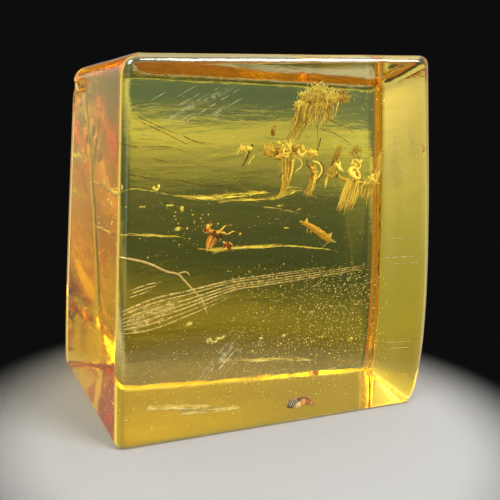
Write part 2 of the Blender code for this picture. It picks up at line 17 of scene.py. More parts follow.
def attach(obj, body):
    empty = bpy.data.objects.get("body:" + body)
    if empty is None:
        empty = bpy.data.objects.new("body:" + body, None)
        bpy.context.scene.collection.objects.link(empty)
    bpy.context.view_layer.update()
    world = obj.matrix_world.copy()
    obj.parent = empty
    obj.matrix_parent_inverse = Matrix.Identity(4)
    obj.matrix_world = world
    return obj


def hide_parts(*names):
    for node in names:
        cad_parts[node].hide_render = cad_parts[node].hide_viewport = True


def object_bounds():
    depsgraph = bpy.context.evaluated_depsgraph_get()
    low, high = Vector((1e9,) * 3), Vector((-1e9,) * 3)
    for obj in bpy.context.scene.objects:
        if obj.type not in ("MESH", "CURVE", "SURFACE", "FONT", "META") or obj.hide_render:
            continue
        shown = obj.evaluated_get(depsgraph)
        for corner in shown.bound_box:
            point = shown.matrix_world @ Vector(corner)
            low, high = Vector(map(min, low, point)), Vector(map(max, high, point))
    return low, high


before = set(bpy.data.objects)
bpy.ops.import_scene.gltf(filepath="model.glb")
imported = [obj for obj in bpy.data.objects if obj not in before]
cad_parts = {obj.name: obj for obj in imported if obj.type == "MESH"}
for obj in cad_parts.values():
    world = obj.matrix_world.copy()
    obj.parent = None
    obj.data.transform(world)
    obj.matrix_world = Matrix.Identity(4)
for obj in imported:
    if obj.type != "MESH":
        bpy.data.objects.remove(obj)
CAD_LOW, CAD_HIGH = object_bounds()

bl_info = {
    "name": "Amber Fossil",
    "version": (1, 0, 0),
    "blender": (4, 5, 0),
    "location": "View3D > Sidebar > Amber",
    "description": "Dresses a polished amber block with its sealed sprig, insects, cracks and specks",
    "category": "Object",
}

MM = 0.001
BODY = "root"


# Settings


class BlockSettings(bpy.types.PropertyGroup):
    rounding: FloatProperty(
        name="Rounding", description="Radius that the edge shares are taken of, in millimetres",
        default=1.0, min=0.1, max=2.0)
    right_bulge: FloatProperty(
        name="Right bulge", description="How far the right face swells, in millimetres",
        default=0.70, min=0.0, max=1.0)
    left_bulge: FloatProperty(
        name="Left bulge", description="How far the left face swells at the back, in millimetres",
        default=0.10, min=0.0, max=1.0)
    polish_wave: FloatProperty(
        name="Polish wave", description="Depth of the hand-polished unevenness, in millimetres",
        default=0.022, min=0.0, max=0.1)
    face_cuts: IntProperty(
        name="Face cuts", description="Loops across each face", default=19, min=3, max=60)


class AmberSettings(bpy.types.PropertyGroup):
    body_colour: FloatVectorProperty(
        name="Body colour", description="Colour that white light takes in a short way through the amber",
        subtype="COLOR", default=(0.985, 0.865, 0.10), min=0.0, max=1.0)
    density: FloatProperty(
        name="Density", description="Absorption per metre of amber", default=230.0, min=0.0)
    refraction: FloatProperty(
        name="Refraction", description="Index of refraction of amber", default=1.54, min=1.0, max=2.0)
    polish: FloatProperty(
        name="Polish", description="Roughness of the polished faces", default=0.02, min=0.0, max=1.0)


class InclusionSettings(bpy.types.PropertyGroup):
    parting_foot: FloatProperty(
        name="Layer foot", description="Depth of the inclusions' layer at the underside, in millimetres",
        default=0.615)
    parting_slope: FloatProperty(
        name="Layer slope", description="How much deeper the layer lies per millimetre of height",
        default=0.338)
    hair_radius: FloatProperty(
        name="Hair radius", description="Radius of the finest plant hairs, in millimetres",
        default=0.013, min=0.002, max=0.1)
    flower_light: FloatVectorProperty(
        name="Flower light", description="Bleached colour of the plant parts", subtype="COLOR",
        default=(1.0, 0.90, 0.50), min=0.0, max=1.0)
    flower_dark: FloatVectorProperty(
        name="Flower dark", description="Browned colour of the plant parts", subtype="COLOR",
        default=(0.50, 0.28, 0.07), min=0.0, max=1.0)
    seed: IntProperty(name="Seed", description="Seed of every random draw", default=7, min=0)


class StageSettings(bpy.types.PropertyGroup):
    camera_place: FloatVectorProperty(
        name="Camera", description="Camera place from the block's lower left front corner, in millimetres",
        default=(-6.52, -26.67, 15.07))
    camera_turn: FloatVectorProperty(
        name="Camera turn", description="Turn to the right, tilt down and roll of the camera",
        subtype="EULER", default=(math.radians(24.58), math.radians(13.53), math.radians(-2.63)))
    camera_focus: FloatProperty(
        name="Focal length", description="Lens in image widths", default=1.4928, min=0.2)
    floor_tone: FloatProperty(name="Floor tone", description="Paleness of the floor", default=0.24,
                              min=0.0, max=1.0)


def settings():
    return bpy.context.scene.amber_fossil


class FossilSettings(bpy.types.PropertyGroup):
    block: PointerProperty(type=BlockSettings)
    amber: PointerProperty(type=AmberSettings)
    inclusions: PointerProperty(type=InclusionSettings)
    stage: PointerProperty(type=StageSettings)


# Places: the inclusions' layer has its own x and z, from this corner of it and at this scale


LAYER_CORNER = (-0.03, 0.24)
LAYER_SCALE = 0.98


def from_corner(x, y, z):
    return Vector((CAD_LOW.x + x * MM, CAD_LOW.y + y * MM, CAD_LOW.z + z * MM))


def layer_axes():
    slope = settings().inclusions.parting_slope
    return Vector((0.0, 1.0, -slope)).normalized(), Vector((0.0, slope, 1.0)).normalized()


def in_layer(x, z, back=0.0):
    """A point of the inclusions' slanted layer in millimetres, or behind it by back millimetres."""
    look = settings().inclusions
    normal, _ = layer_axes()
    across = LAYER_CORNER[0] + LAYER_SCALE * x
    up = LAYER_CORNER[1] + LAYER_SCALE * z
    return Vector((across, look.parting_foot + look.parting_slope * up, up)) + normal * back


# Mesh building


class Shape:
    """Points and faces in millimetres from the block's corner, with a tone at each point."""

    def __init__(self):
        self.points = []
        self.faces = []
        self.tones = []

    def add(self, point, tone):
        self.points.append(point)
        self.tones.append(tone)

    def skin(self, first, rows, sides):
        """Closes rows of points that each go once round, the first of them numbered first, into a solid."""
        last = first + (rows - 1) * sides
        for row in range(first, last, sides):
            for k in range(sides):
                a, b = row + k, row + (k + 1) % sides
                self.faces.append((a, b, b + sides, a + sides))
        self.faces.append(tuple(first + k for k in reversed(range(sides))))
        self.faces.append(tuple(last + k for k in range(sides)))

    def tube(self, path, radii, sides, tone):
        """A closed tube along path."""
        first = len(self.points)
        normal = None
        for i, here in enumerate(path):
            along = (path[min(i + 1, len(path) - 1)] - path[max(i - 1, 0)]).normalized()
            if normal is None:
                normal = along.orthogonal().normalized()
            normal = (normal - along * normal.dot(along)).normalized()
            across = along.cross(normal)
            for k in range(sides):
                angle = 2 * math.pi * k / sides
                self.add(here + (normal * math.cos(angle) + across * math.sin(angle)) * radii[i], tone)
        self.skin(first, len(path), sides)

    def ball(self, centre, size, turn, tone, rings, sides, lumps):
        """A squashed ball. size is its three half lengths, lumps its unevenness as a share."""
        first = len(self.points)
        turn = turn or Matrix.Identity(3)
        centre = Vector(centre)
        rows = []
        for i in range(1, rings):
            polar = math.pi * i / rings
            for k in range(sides):
                around = 2 * math.pi * k / sides
                rows.append(Vector((math.sin(polar) * math.cos(around), math.sin(polar) * math.sin(around),
                                    math.cos(polar))))
        for unit in [Vector((0, 0, 1)), *rows, Vector((0, 0, -1))]:
            coarse = noise.noise(unit * 2.3 + centre * 3.0)
            fine = noise.noise(unit * 5.5 + centre * 7.0)
            swell = 1 + lumps * (coarse + 0.6 * fine)
            self.add(centre + turn @ Vector(unit[a] * size[a] * swell for a in range(3)), tone)
        for k in range(sides):
            self.faces.append((first, first + 1 + k, first + 1 + (k + 1) % sides))
        for i in range(rings - 2):
            for k in range(sides):
                a = first + 1 + i * sides + k
                b = first + 1 + i * sides + (k + 1) % sides
                self.faces.append((a, a + sides, b + sides, b))
        last = first + 1 + (rings - 1) * sides
        for k in range(sides):
            self.faces.append((last - sides + k, last, last - sides + (k + 1) % sides))

    def finish(self, name, material):
        """Makes the object, riding on the fossil's one body."""
        mesh = bpy.data.meshes.new(name)
        mesh.from_pydata([from_corner(*p) for p in self.points], [], self.faces)
        tone = mesh.attributes.new("tone", "FLOAT", "POINT")
        tone.data.foreach_set("value", np.array(self.tones, np.float32))
        bm = bmesh.new()
        bm.from_mesh(mesh)
        bmesh.ops.recalc_face_normals(bm, faces=bm.faces)
        bm.to_mesh(mesh)
        bm.free()
        mesh.shade_smooth()
        mesh.materials.append(material)
        piece = bpy.data.objects.new(name, mesh)
        bpy.context.scene.collection.objects.link(piece)
        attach(piece, BODY)
        return piece


def smooth_path(points, count):
    """count points along a smooth curve through the given ones."""
    points = [Vector(p) for p in points]
    ends = [points[0] * 2 - points[1], *points, points[-1] * 2 - points[-2]]
    path = []
    for step in range(count):
        along = step * (len(points) - 1) / (count - 1)
        part = min(int(along), len(points) - 2)
        t = along - part
        a, b, c, d = ends[part:part + 4]
        path.append((2 * b + (c - a) * t + (2 * a - 5 * b + 4 * c - d) * t * t
                     + (3 * b - a - 3 * c + d) * t ** 3) / 2)
    return path


def taper(radius, count, thin_end):
    return [radius * (1 - (1 - thin_end) * i / (count - 1)) for i in range(count)]


# Materials


def shader_material(name, **sockets):
    """A new material with its Principled shader's sockets set, and its node tree's parts."""
    material = bpy.data.materials.new(name)
    material.use_nodes = True
    tree = material.node_tree
    shader = tree.nodes["Principled BSDF"]
    for socket, value in sockets.items():
        shader.inputs[socket.replace("_", " ").title().replace("Ior", "IOR")].default_value = value
    return material, tree, shader


def object_point(tree, scale=(1.0, 1.0, 1.0)):
    """Object coordinates, scaled per axis, for textures. One unit is then a millimetre over scale."""
    place = tree.nodes.new("ShaderNodeTexCoord")
    stretch = tree.nodes.new("ShaderNodeVectorMath")
    stretch.operation = "MULTIPLY"
    stretch.inputs[1].default_value = [s / MM for s in scale]
    tree.links.new(place.outputs["Object"], stretch.inputs[0])
    return stretch.outputs[0]


def noise_at(tree, vector, scale, detail, roughness=0.5, distortion=0.0):
    made = tree.nodes.new("ShaderNodeTexNoise")
    sockets = {"Scale": scale, "Detail": detail, "Roughness": roughness, "Distortion": distortion}
    for key, number in sockets.items():
        made.inputs[key].default_value = number
    tree.links.new(vector, made.inputs["Vector"])
    return made.outputs["Fac"]


def tone_of(tree):
    """The tone that each point of the mesh carries."""
    made = tree.nodes.new("ShaderNodeAttribute")
    made.attribute_name = "tone"
    return made.outputs["Fac"]


def remap(tree, value, low, high, out_low=0.0, out_high=1.0):
    made = tree.nodes.new("ShaderNodeMapRange")
    for key, number in {"From Min": low, "From Max": high, "To Min": out_low, "To Max": out_high}.items():
        made.inputs[key].default_value = number
    tree.links.new(value, made.inputs["Value"])
    return made.outputs["Result"]


def combine(tree, operation, first, second):
    made = tree.nodes.new("ShaderNodeMath")
    made.operation = operation
    for place, value in enumerate((first, second)):
        if isinstance(value, (int, float)):
            made.inputs[place].default_value = value
        else:
            tree.links.new(value, made.inputs[place])
    return made.outputs[0]


def mottled_tone(tree, mottle, amount):
    """The mesh's own tone, made uneven by a texture."""
    uneven = combine(tree, "MULTIPLY", combine(tree, "SUBTRACT", mottle, 0.5), amount)
    return combine(tree, "ADD", tone_of(tree), uneven)


def ramp(tree, value, stops):
    """A colour ramp through (place, colour) stops."""
    made = tree.nodes.new("ShaderNodeValToRGB")
    elements = made.color_ramp.elements
    while len(elements) < len(stops):
        elements.new(0.5)
    for element, (place, colour) in zip(elements, stops):
        element.position = place
        element.color = (*colour, 1.0)
    tree.links.new(value, made.inputs["Fac"])
    return made.outputs["Color"]


def bump(tree, shader, height, strength, distance):
    made = tree.nodes.new("ShaderNodeBump")
    made.inputs["Strength"].default_value = strength
    made.inputs["Distance"].default_value = distance * MM
    tree.links.new(height, made.inputs["Height"])
    tree.links.new(made.outputs["Normal"], shader.inputs["Normal"])


def clear_amber_material():
    look = settings().amber
    material, tree, shader = shader_material(
        "clear_amber", base_color=(1.0, 1.0, 1.0, 1.0), roughness=look.polish, ior=look.refraction,
        transmission_weight=1.0)
    cloud = noise_at(tree, object_point(tree), 0.35, 5.0, 0.6)
    hairlines = noise_at(tree, object_point(tree, (0.6, 0.6, 9.0)), 1.6, 3.0, 0.7)
    worn = remap(tree, cloud, 0.45, 0.75, 0.0, 0.035)
    fine = remap(tree, hairlines, 0.60, 0.72, 0.0, 0.05)
    wear = combine(tree, "ADD", combine(tree, "ADD", worn, fine), look.polish)
    tree.links.new(wear, shader.inputs["Roughness"])
    waves = noise_at(tree, object_point(tree, (0.30, 0.30, 1.5)), 1.0, 4.0, 0.55, 0.6)
    bump(tree, shader, waves, 0.20, 0.05)
    absorb = tree.nodes.new("ShaderNodeVolumeAbsorption")
    absorb.inputs["Color"].default_value = (*look.body_colour, 1.0)
    absorb.inputs["Density"].default_value = look.density
    tree.links.new(absorb.outputs["Volume"], tree.nodes["Material Output"].inputs["Volume"])
    return material


# Clear block: the corners are in millimetres, and the shares say how round each kind of edge is


CORNERS = {
    ("left", "front", "bottom"): (0.18, 0.0, 0.0),
    ("right", "front", "bottom"): (14.55, 0.0, 0.0),
    ("left", "back", "bottom"): (0.0, 10.0, 0.0),
    ("right", "back", "bottom"): (14.77, 7.96, 0.0),
    ("left", "front", "top"): (0.36, 0.0, 15.44),
    ("right", "front", "top"): (13.72, 0.0, 16.0),
    ("left", "back", "top"): (0.41, 9.12, 14.84),
    ("right", "back", "top"): (14.61, 8.96, 14.65),
}
EDGE_SHARE = {
    "front upright": 0.40,
    "left front upright": 0.42,
    "left back upright": 0.55,
    "back upright": 0.50,
    "top": 0.42,
    "left top": 0.75,
    "bottom": 0.24,
    "left bottom": 0.36,
}
EDGE_STEPS = 9
SAME_PLACE = 1e-6
FOOT_HEIGHT = 1.2
WAVE_SCALE = 0.22


def block_point(u, v, w):
    """Surface point for shares u across, v into and w up the block, in millimetres."""
    look = settings().block
    rows = []
    for level in ("bottom", "top"):
        lines = []
        for face in ("front", "back"):
            left, right = (Vector(CORNERS[(side, face, level)]) for side in ("left", "right"))
            lines.append(left.lerp(right, u))
        rows.append(lines[0].lerp(lines[1], v))
    point = rows[0].lerp(rows[1], w)
    swell = math.sin(math.pi * w ** 0.6) if w > 0 else 0.0
    point.x += look.right_bulge * u * (1 - 0.6 * v) * swell
    point.x -= look.left_bulge * (1 - u) * v * swell
    return point


def edge_share(a, b):
    """How round the edge between two points of the unit cube is, or 0 inside a face."""
    at = {axis: a[axis] for axis in range(3) if abs(a[axis] - b[axis]) < SAME_PLACE and a[axis] in (0.0, 1.0)}
    if len(at) < 2:
        return 0.0
    left = at.get(0) == 0.0
    if 2 in at:
        level = "top" if at[2] == 1.0 else "bottom"
        return EDGE_SHARE["left " + level if left and 0 in at else level]
    if left:
        return EDGE_SHARE["left front upright" if at[1] == 0.0 else "left back upright"]
    return EDGE_SHARE["front upright" if at[1] == 0.0 else "back upright"]


def move_vertices(mesh, change):
    """Puts the vertices where change takes them. It is given their places as rows, in metres."""
    places = np.empty(len(mesh.vertices) * 3, np.float32)
    mesh.vertices.foreach_get("co", places)
    mesh.vertices.foreach_set("co", change(places.reshape(-1, 3)).astype(np.float32).ravel())


def fit_to_frame(places):
    """Rounding takes a little off the corners, so the block is brought back to the frame's box."""
    low, high = places.min(0), places.max(0)
    share = (places - low) / (high - low)
    return np.array(CAD_LOW) + share * (np.array(CAD_HIGH) - np.array(CAD_LOW))


def keep_in_frame(places):
    return np.clip(places, np.array(CAD_LOW), np.array(CAD_HIGH))


def polish_wave(mesh, depth):
    """Faces pressed in a little and unevenly, as hand polishing leaves them. The underside stays flat."""
    for vert in mesh.vertices:
        place = vert.co / MM
        wave = 0.5 + 0.5 * noise.fractal(place * WAVE_SCALE, 0.9, 2.0, 3)
        clear_of_foot = min(1.0, max(0.0, place.z / FOOT_HEIGHT))
        vert.co -= vert.normal * max(0.0, wave) * depth * clear_of_foot * MM


def clear_block_mesh():
    look = settings().block
    bm = bmesh.new()
    bmesh.ops.create_cube(bm, size=1.0, matrix=Matrix.Translation((0.5, 0.5, 0.5)))
    bmesh.ops.subdivide_edges(bm, edges=bm.edges, cuts=look.face_cuts, use_grid_fill=True)
    weight = bm.edges.layers.float.new("bevel_weight_edge")
    for edge in bm.edges:
        ends = [[round(c, 5) for c in vert.co] for vert in edge.verts]
        edge[weight] = edge_share(*ends)
    for vert in bm.verts:
        vert.co = from_corner(*block_point(*[min(max(c, 0.0), 1.0) for c in vert.co]))
    mesh = bpy.data.meshes.new("rough_block")
    bm.to_mesh(mesh)
    bm.free()
    rough = bpy.data.objects.new("rough_block", mesh)
    bpy.context.scene.collection.objects.link(rough)
    rounding = rough.modifiers.new("rounding", "BEVEL")
    rounding.limit_method = "WEIGHT"
    rounding.width = look.rounding * MM
    rounding.segments = EDGE_STEPS
    rounding.use_clamp_overlap = False
    graph = bpy.context.evaluated_depsgraph_get()
    made = bpy.data.meshes.new_from_object(rough.evaluated_get(graph))
    bpy.data.objects.remove(rough)
    move_vertices(made, fit_to_frame)
    polish_wave(made, look.polish_wave)
    move_vertices(made, keep_in_frame)
    return made


class AMBER_OT_clear_block(bpy.types.Operator):
    """The one clear block of amber, in place of its two halves"""

    bl_idname = "amber.clear_block"
    bl_label = "Clear block"

    def execute(self, context):
        mesh = clear_block_mesh()
        mesh.name = "clear_block"
        mesh.shade_smooth()
        mesh.materials.clear()
        mesh.materials.append(clear_amber_material())
        piece = bpy.data.objects.new("clear_block", mesh)
        context.scene.collection.objects.link(piece)
        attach(piece, BODY)
        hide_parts("amber_front", "amber_back")
        return {"FINISHED"}


# Sprig, insects, cracks and marks: how they are drawn


ACROSS = Vector((1.0, 0.0, 0.0))
STRAND_STEPS = 14
CURL_STEPS = 7
LOOP_STEPS = 24


def random_direction(draw):
    return Vector([draw.gauss(0.0, 1.0) for _ in range(3)]).normalized()


def along_line(line, share):
    (ax, az), (bx, bz) = line
    return ax + (bx - ax) * share, az + (bz - az) * share


def bundle(shape, draw, rows, count, radius, depth, stray, tones, shortest):
    """Strands side by side. Each row is the line ((x, z), (x, z)) that the strands cross in turn."""
    for number in range(count):
        share = (number + draw.random()) / count
        back = draw.uniform(-depth, depth)
        knots = []
        for place, row in enumerate(rows):
            x, z = along_line(row, min(max(share + draw.gauss(0.0, 0.05), 0.0), 1.0))
            knots.append(in_layer(x + draw.gauss(0.0, stray) * (place > 0), z, back + draw.gauss(0.0, stray)))
        path = smooth_path(knots, STRAND_STEPS)
        kept = max(4, round(STRAND_STEPS * draw.uniform(shortest, 1.0)))
        width = radius * draw.uniform(0.6, 1.5)
        shape.tube(path[:kept], taper(width, kept, 0.35), 5, draw.uniform(*tones))


def frizz(shape, draw, centre, size, count, reach, radius, tones, curl=2.2, back=0.0):
    """Curly hairs that grow out of a ball of the given half lengths: across, up the layer and into it."""
    normal, up = layer_axes()
    for _ in range(count):
        aim = random_direction(draw)
        out = draw.random() ** 0.4
        start = (in_layer(*centre, back) + ACROSS * aim.x * size[0] * out
                 + up * aim.z * size[1] * out + normal * aim.y * size[2] * out)
        heading = (ACROSS * aim.x + up * aim.z + normal * aim.y * 0.4
                   + random_direction(draw) * 0.8).normalized()
        axis = random_direction(draw)
        length = draw.uniform(*reach)
        path = [start]
        for _ in range(CURL_STEPS):
            heading = Matrix.Rotation(curl * draw.uniform(0.3, 1.0) / 4, 3, axis) @ heading
            path.append(path[-1] + heading * length / CURL_STEPS)
        radii = taper(radius * draw.uniform(0.7, 1.3), len(path), 0.4)
        shape.tube(path, radii, 5, draw.uniform(*tones))


def strand(shape, points, radius, tone, steps=12, thin_end=0.5, back=0.0):
    """One strand along (x, z) points of the layer."""
    path = smooth_path([in_layer(x, z, back) for x, z in points], steps)
    shape.tube(path, taper(radius, steps, thin_end), 6, tone)


def bud(shape, centre, size, tone, back=0.0, lean=0.0, lumps=0.45):
    """A lumpy ball in the layer. size is its half lengths across, into and up the layer."""
    normal, up = layer_axes()
    turn = Matrix((ACROSS, normal, up)).transposed() @ Matrix.Rotation(math.radians(-lean), 3, "Y")
    shape.ball(in_layer(*centre, back), size, turn, tone, 13, 18, lumps)


def leaf(shape, root, tip, half_width, tone, thickness=0.03, curl=0.08, back=0.0, steps=8):
    """A thin pointed leaf from root to tip in the layer, bent out of it by curl of its length."""
    root, tip = in_layer(*root, back), in_layer(*tip, back)
    along = tip - root
    normal, _ = layer_axes()
    across = along.cross(normal).normalized()
    first = len(shape.points)
    for i in range(steps + 1):
        share = i / steps
        width = half_width * (0.98 * math.sin(math.pi * (0.08 + 0.92 * share) ** 0.8) + 0.02)
        middle = root + along * share + normal * curl * along.length * math.sin(math.pi * share)
        for side, lift in ((-1, 0), (0, 1), (1, 0), (0, -1)):
            dish = normal * (lift * thickness / 2 - abs(side) * 0.18 * width)
            shape.add(middle + across * side * width + dish, tone + 0.15 * share)
    shape.skin(first, steps + 1, 4)


def loop(shape, centre, radius, thickness, squash, turn, tone=0.95, lean=0.35, back=0.0):
    """A ring whose long axis is turned in the layer by turn degrees."""
    normal, up = layer_axes()
    long_axis = ACROSS * math.cos(math.radians(turn)) + up * math.sin(math.radians(turn))
    short_axis = long_axis.cross(normal) * squash + normal * lean
    path, radii = [], []
    for step in range(LOOP_STEPS + 1):
        angle = 2 * math.pi * step / LOOP_STEPS
        fold = 1 + 0.07 * math.sin(3 * angle + centre[0] * 9) + 0.05 * math.sin(8 * angle + centre[1] * 5)
        out = long_axis * math.cos(angle) + short_axis * math.sin(angle)
        path.append(in_layer(*centre, back) + out * radius * fold)
        radii.append(thickness * (1.0 + 0.35 * math.cos(angle + 2.4)))
    shape.tube(path, radii, 9, tone)


def plant_material():
    """Bleached and browned plant tissue, streaked along its hairs."""
    look = settings().inclusions
    material, tree, shader = shader_material("dried_flower", roughness=0.55)
    here = object_point(tree)
    mottle = noise_at(tree, here, 9.0, 3.0, 0.6)
    dark, light, bleached = Vector(look.flower_dark), Vector(look.flower_light), (1.0, 0.95, 0.62)
    colour = ramp(tree, mottled_tone(tree, mottle, 1.0), [
        (0.0, dark * 0.12), (0.25, dark * 0.7), (0.5, dark.lerp(light, 0.55)), (0.75, light),
        (1.0, bleached)])
    tree.links.new(colour, shader.inputs["Base Color"])
    tree.links.new(remap(tree, mottle, 0.3, 0.7, 0.35, 0.75), shader.inputs["Roughness"])
    bump(tree, shader, noise_at(tree, here, 22.0, 2.0), 0.4, 0.01)
    return material


def insect_material(name, stops, roughness=(0.2, 0.5), clearness=0.0):
    """Horny skin whose tone runs through the given colours, with fine ridges."""
    material, tree, shader = shader_material(
        name, coat_weight=0.3, coat_roughness=0.15, transmission_weight=clearness)
    mottle = noise_at(tree, object_point(tree), 14.0, 3.0, 0.6)
    tree.links.new(ramp(tree, mottled_tone(tree, mottle, 0.5), stops), shader.inputs["Base Color"])
    tree.links.new(remap(tree, mottle, 0.3, 0.7, *roughness), shader.inputs["Roughness"])
    bump(tree, shader, mottle, 0.35, 0.02)
    return material


# Flower tuft


TUFT_HEAD = ((10.42, 14.14), (1.0, 0.46, 0.36))
TUFT_LOWER = ((10.45, 13.85), (0.95, 0.30, 0.34))
TUFT_LEFT_LOBE = ((9.42, 13.68), (0.27, 0.22, 0.2))
TUFT_RIGHT_LOBE = ((11.68, 14.10), (0.30, 0.24, 0.2))
TUFT_BUNDLE = [
    ((9.35, 13.65), (11.35, 13.80)), ((9.05, 12.97), (11.15, 13.20)), ((8.80, 12.40), (10.75, 12.70))]
TUFT_LONG = [
    ((9.30, 13.45), (9.95, 13.50)), ((8.95, 12.70), (9.60, 12.65)), ((8.62, 12.05), (9.20, 12.05))]


class AMBER_OT_flower_tuft(bpy.types.Operator):
    """The frizzy tuft of the sprig and the strands that hang from it"""

    bl_idname = "amber.flower_tuft"
    bl_label = "Flower tuft"

    def execute(self, context):
        hair = settings().inclusions.hair_radius
        draw = random.Random(settings().inclusions.seed)
        shape = Shape()
        bud(shape, (10.40, 14.02), (0.80, 0.20, 0.26), 0.55, lean=3, lumps=0.6)
        frizz(shape, draw, *TUFT_HEAD, 330, (0.20, 0.46), hair * 2.0, (0.70, 1.35), 4.6)
        frizz(shape, draw, *TUFT_LOWER, 90, (0.22, 0.45), hair * 1.8, (0.35, 1.0), 3.4, back=-0.15)
        frizz(shape, draw, *TUFT_LEFT_LOBE, 50, (0.15, 0.35), hair * 2.2, (0.90, 1.2), curl=4.5)
        frizz(shape, draw, *TUFT_RIGHT_LOBE, 70, (0.15, 0.45), hair * 1.2, (0.30, 0.60))
        leaf(shape, (11.35, 14.02), (12.08, 14.20), 0.16, 0.5)
        bundle(shape, draw, TUFT_BUNDLE, 62, hair * 1.8, 0.34, 0.05, (0.25, 1.0), 0.5)
        bundle(shape, draw, TUFT_LONG, 20, hair * 1.7, 0.3, 0.05, (0.05, 0.50), 0.75)
        strand(shape, [(10.70, 13.60), (10.32, 12.91), (10.31, 12.27), (10.22, 11.72)], hair * 1.6, 0.15)
        piece = shape.finish("flower_tuft_hairs", plant_material())
        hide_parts("flower_tuft")
        return {"FINISHED"}


# Florets


FLORET_BUDS = [
    ((7.88, 11.71), (0.31, 0.20, 0.22), 0.78, 0.05), ((8.12, 12.58), (0.09, 0.08, 0.20), 0.55, 0.10),
    ((8.30, 11.96), (0.09, 0.09, 0.09), 1.00, -0.12), ((8.37, 11.43), (0.28, 0.10, 0.10), 0.80, -0.05),
    ((8.20, 11.66), (0.20, 0.13, 0.15), 0.62, 0.0), ((8.84, 11.64), (0.24, 0.15, 0.16), 0.70, 0.05),
    ((9.06, 11.75), (0.15, 0.12, 0.13), 0.60, -0.10), ((9.46, 11.80), (0.09, 0.09, 0.09), 1.00, -0.10),
    ((9.40, 11.60), (0.10, 0.09, 0.10), 0.62, 0.0), ((9.98, 11.53), (0.22, 0.15, 0.15), 0.92, -0.05),
    ((10.02, 10.72), (0.15, 0.09, 0.30), 0.62, 0.0),
]
FLORET_LOOPS = [
    ((8.66, 11.64), 0.17, 0.035, 0.8, 0.0), ((9.40, 11.62), 0.16, 0.035, 0.9, 20.0),
    ((8.60, 11.46), 0.16, 0.028, 0.5, -10.0),
]
FLORET_CRESCENTS = [
    ([(8.99, 11.48), (9.30, 11.31), (9.43, 11.10), (9.33, 10.92), (9.08, 10.76)], 0.032, 0.95),
    ([(9.96, 11.22), (10.26, 11.12), (10.42, 10.90), (10.35, 10.62), (10.06, 10.38)], 0.042, 1.0),
    ([(10.40, 11.16), (10.53, 10.90), (10.44, 10.58), (10.16, 10.30), (9.96, 10.16)], 0.030, 0.02),
    ([(9.73, 11.30), (9.68, 11.08), (9.80, 10.90), (9.88, 10.66)], 0.034, 0.06),
    ([(10.42, 12.25), (10.34, 11.95), (10.22, 11.68)], 0.034, 0.05),
    ([(8.40, 11.35), (8.56, 11.05), (8.44, 10.75), (8.26, 10.50)], 0.030, 0.05),
]
FLORET_STEM = [(7.60, 11.68), (8.25, 11.72), (8.84, 11.70), (9.50, 11.68), (9.98, 11.52)]
FIRST_HANGING = [
    ((8.35, 11.35), (9.05, 11.30)), ((8.35, 10.75), (8.95, 10.75)), ((8.40, 10.12), (8.66, 10.16)),
    ((8.10, 9.53), (8.34, 9.58))]
SECOND_HANGING = [
    ((9.90, 10.75), (10.16, 10.60)), ((9.70, 10.14), (10.02, 10.10)), ((9.40, 9.68), (9.82, 9.58))]
STAR_RAYS = 15
STAR_MIDDLE = (8.86, 11.70)


class AMBER_OT_floret_row(bpy.types.Operator):
    """The row of small florets with beads, rings, a star and hanging strands"""

    bl_idname = "amber.floret_row"
    bl_label = "Floret row"

    def execute(self, context):
        hair = settings().inclusions.hair_radius
        draw = random.Random(settings().inclusions.seed + 1)
        shape = Shape()
        strand(shape, FLORET_STEM, 0.05, 0.55, 20, 0.9)
        for centre, size, tone, back in FLORET_BUDS:
            bud(shape, centre, size, tone - 0.30, back, draw.uniform(-20, 20), 0.75)
            frizz(shape, draw, centre, [side * 0.9 for side in size], 16, (0.08, 0.22), hair * 1.2,
                  (0.1, 1.0), back=back)
        for centre, radius, thickness, squash, turn in FLORET_LOOPS:
            loop(shape, centre, radius, thickness, squash, turn, back=-0.12)
        for points, radius, tone in FLORET_CRESCENTS:
            strand(shape, points, radius, tone, 16, 0.7, back=-0.06)
        for number in range(STAR_RAYS):
            angle = math.radians(25 + 130 * number / (STAR_RAYS - 1) + draw.uniform(-8, 8))
            reach = draw.uniform(0.30, 0.62)
            tip = (STAR_MIDDLE[0] + reach * math.cos(angle), STAR_MIDDLE[1] + 0.02 + reach * math.sin(angle))
            leaf(shape, STAR_MIDDLE, tip, draw.uniform(0.03, 0.06), draw.uniform(0.4, 0.95),
                 back=draw.uniform(-0.15, 0.15))
        frizz(shape, draw, (8.72, 11.62), (0.55, 0.20, 0.22), 110, (0.12, 0.34), hair * 1.2, (0.35, 0.95))
        frizz(shape, draw, (9.40, 11.62), (0.22, 0.20, 0.15), 36, (0.10, 0.25), hair * 1.2, (0.40, 0.95))
        bundle(shape, draw, FIRST_HANGING, 26, hair * 1.7, 0.16, 0.03, (0.15, 0.95), 0.8)
        bundle(shape, draw, SECOND_HANGING, 20, hair * 1.7, 0.14, 0.03, (0.15, 0.95), 0.8)
        piece = shape.finish("floret_row_buds", plant_material())
        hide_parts("floret_row")
        return {"FINISHED"}


# Stamen brush


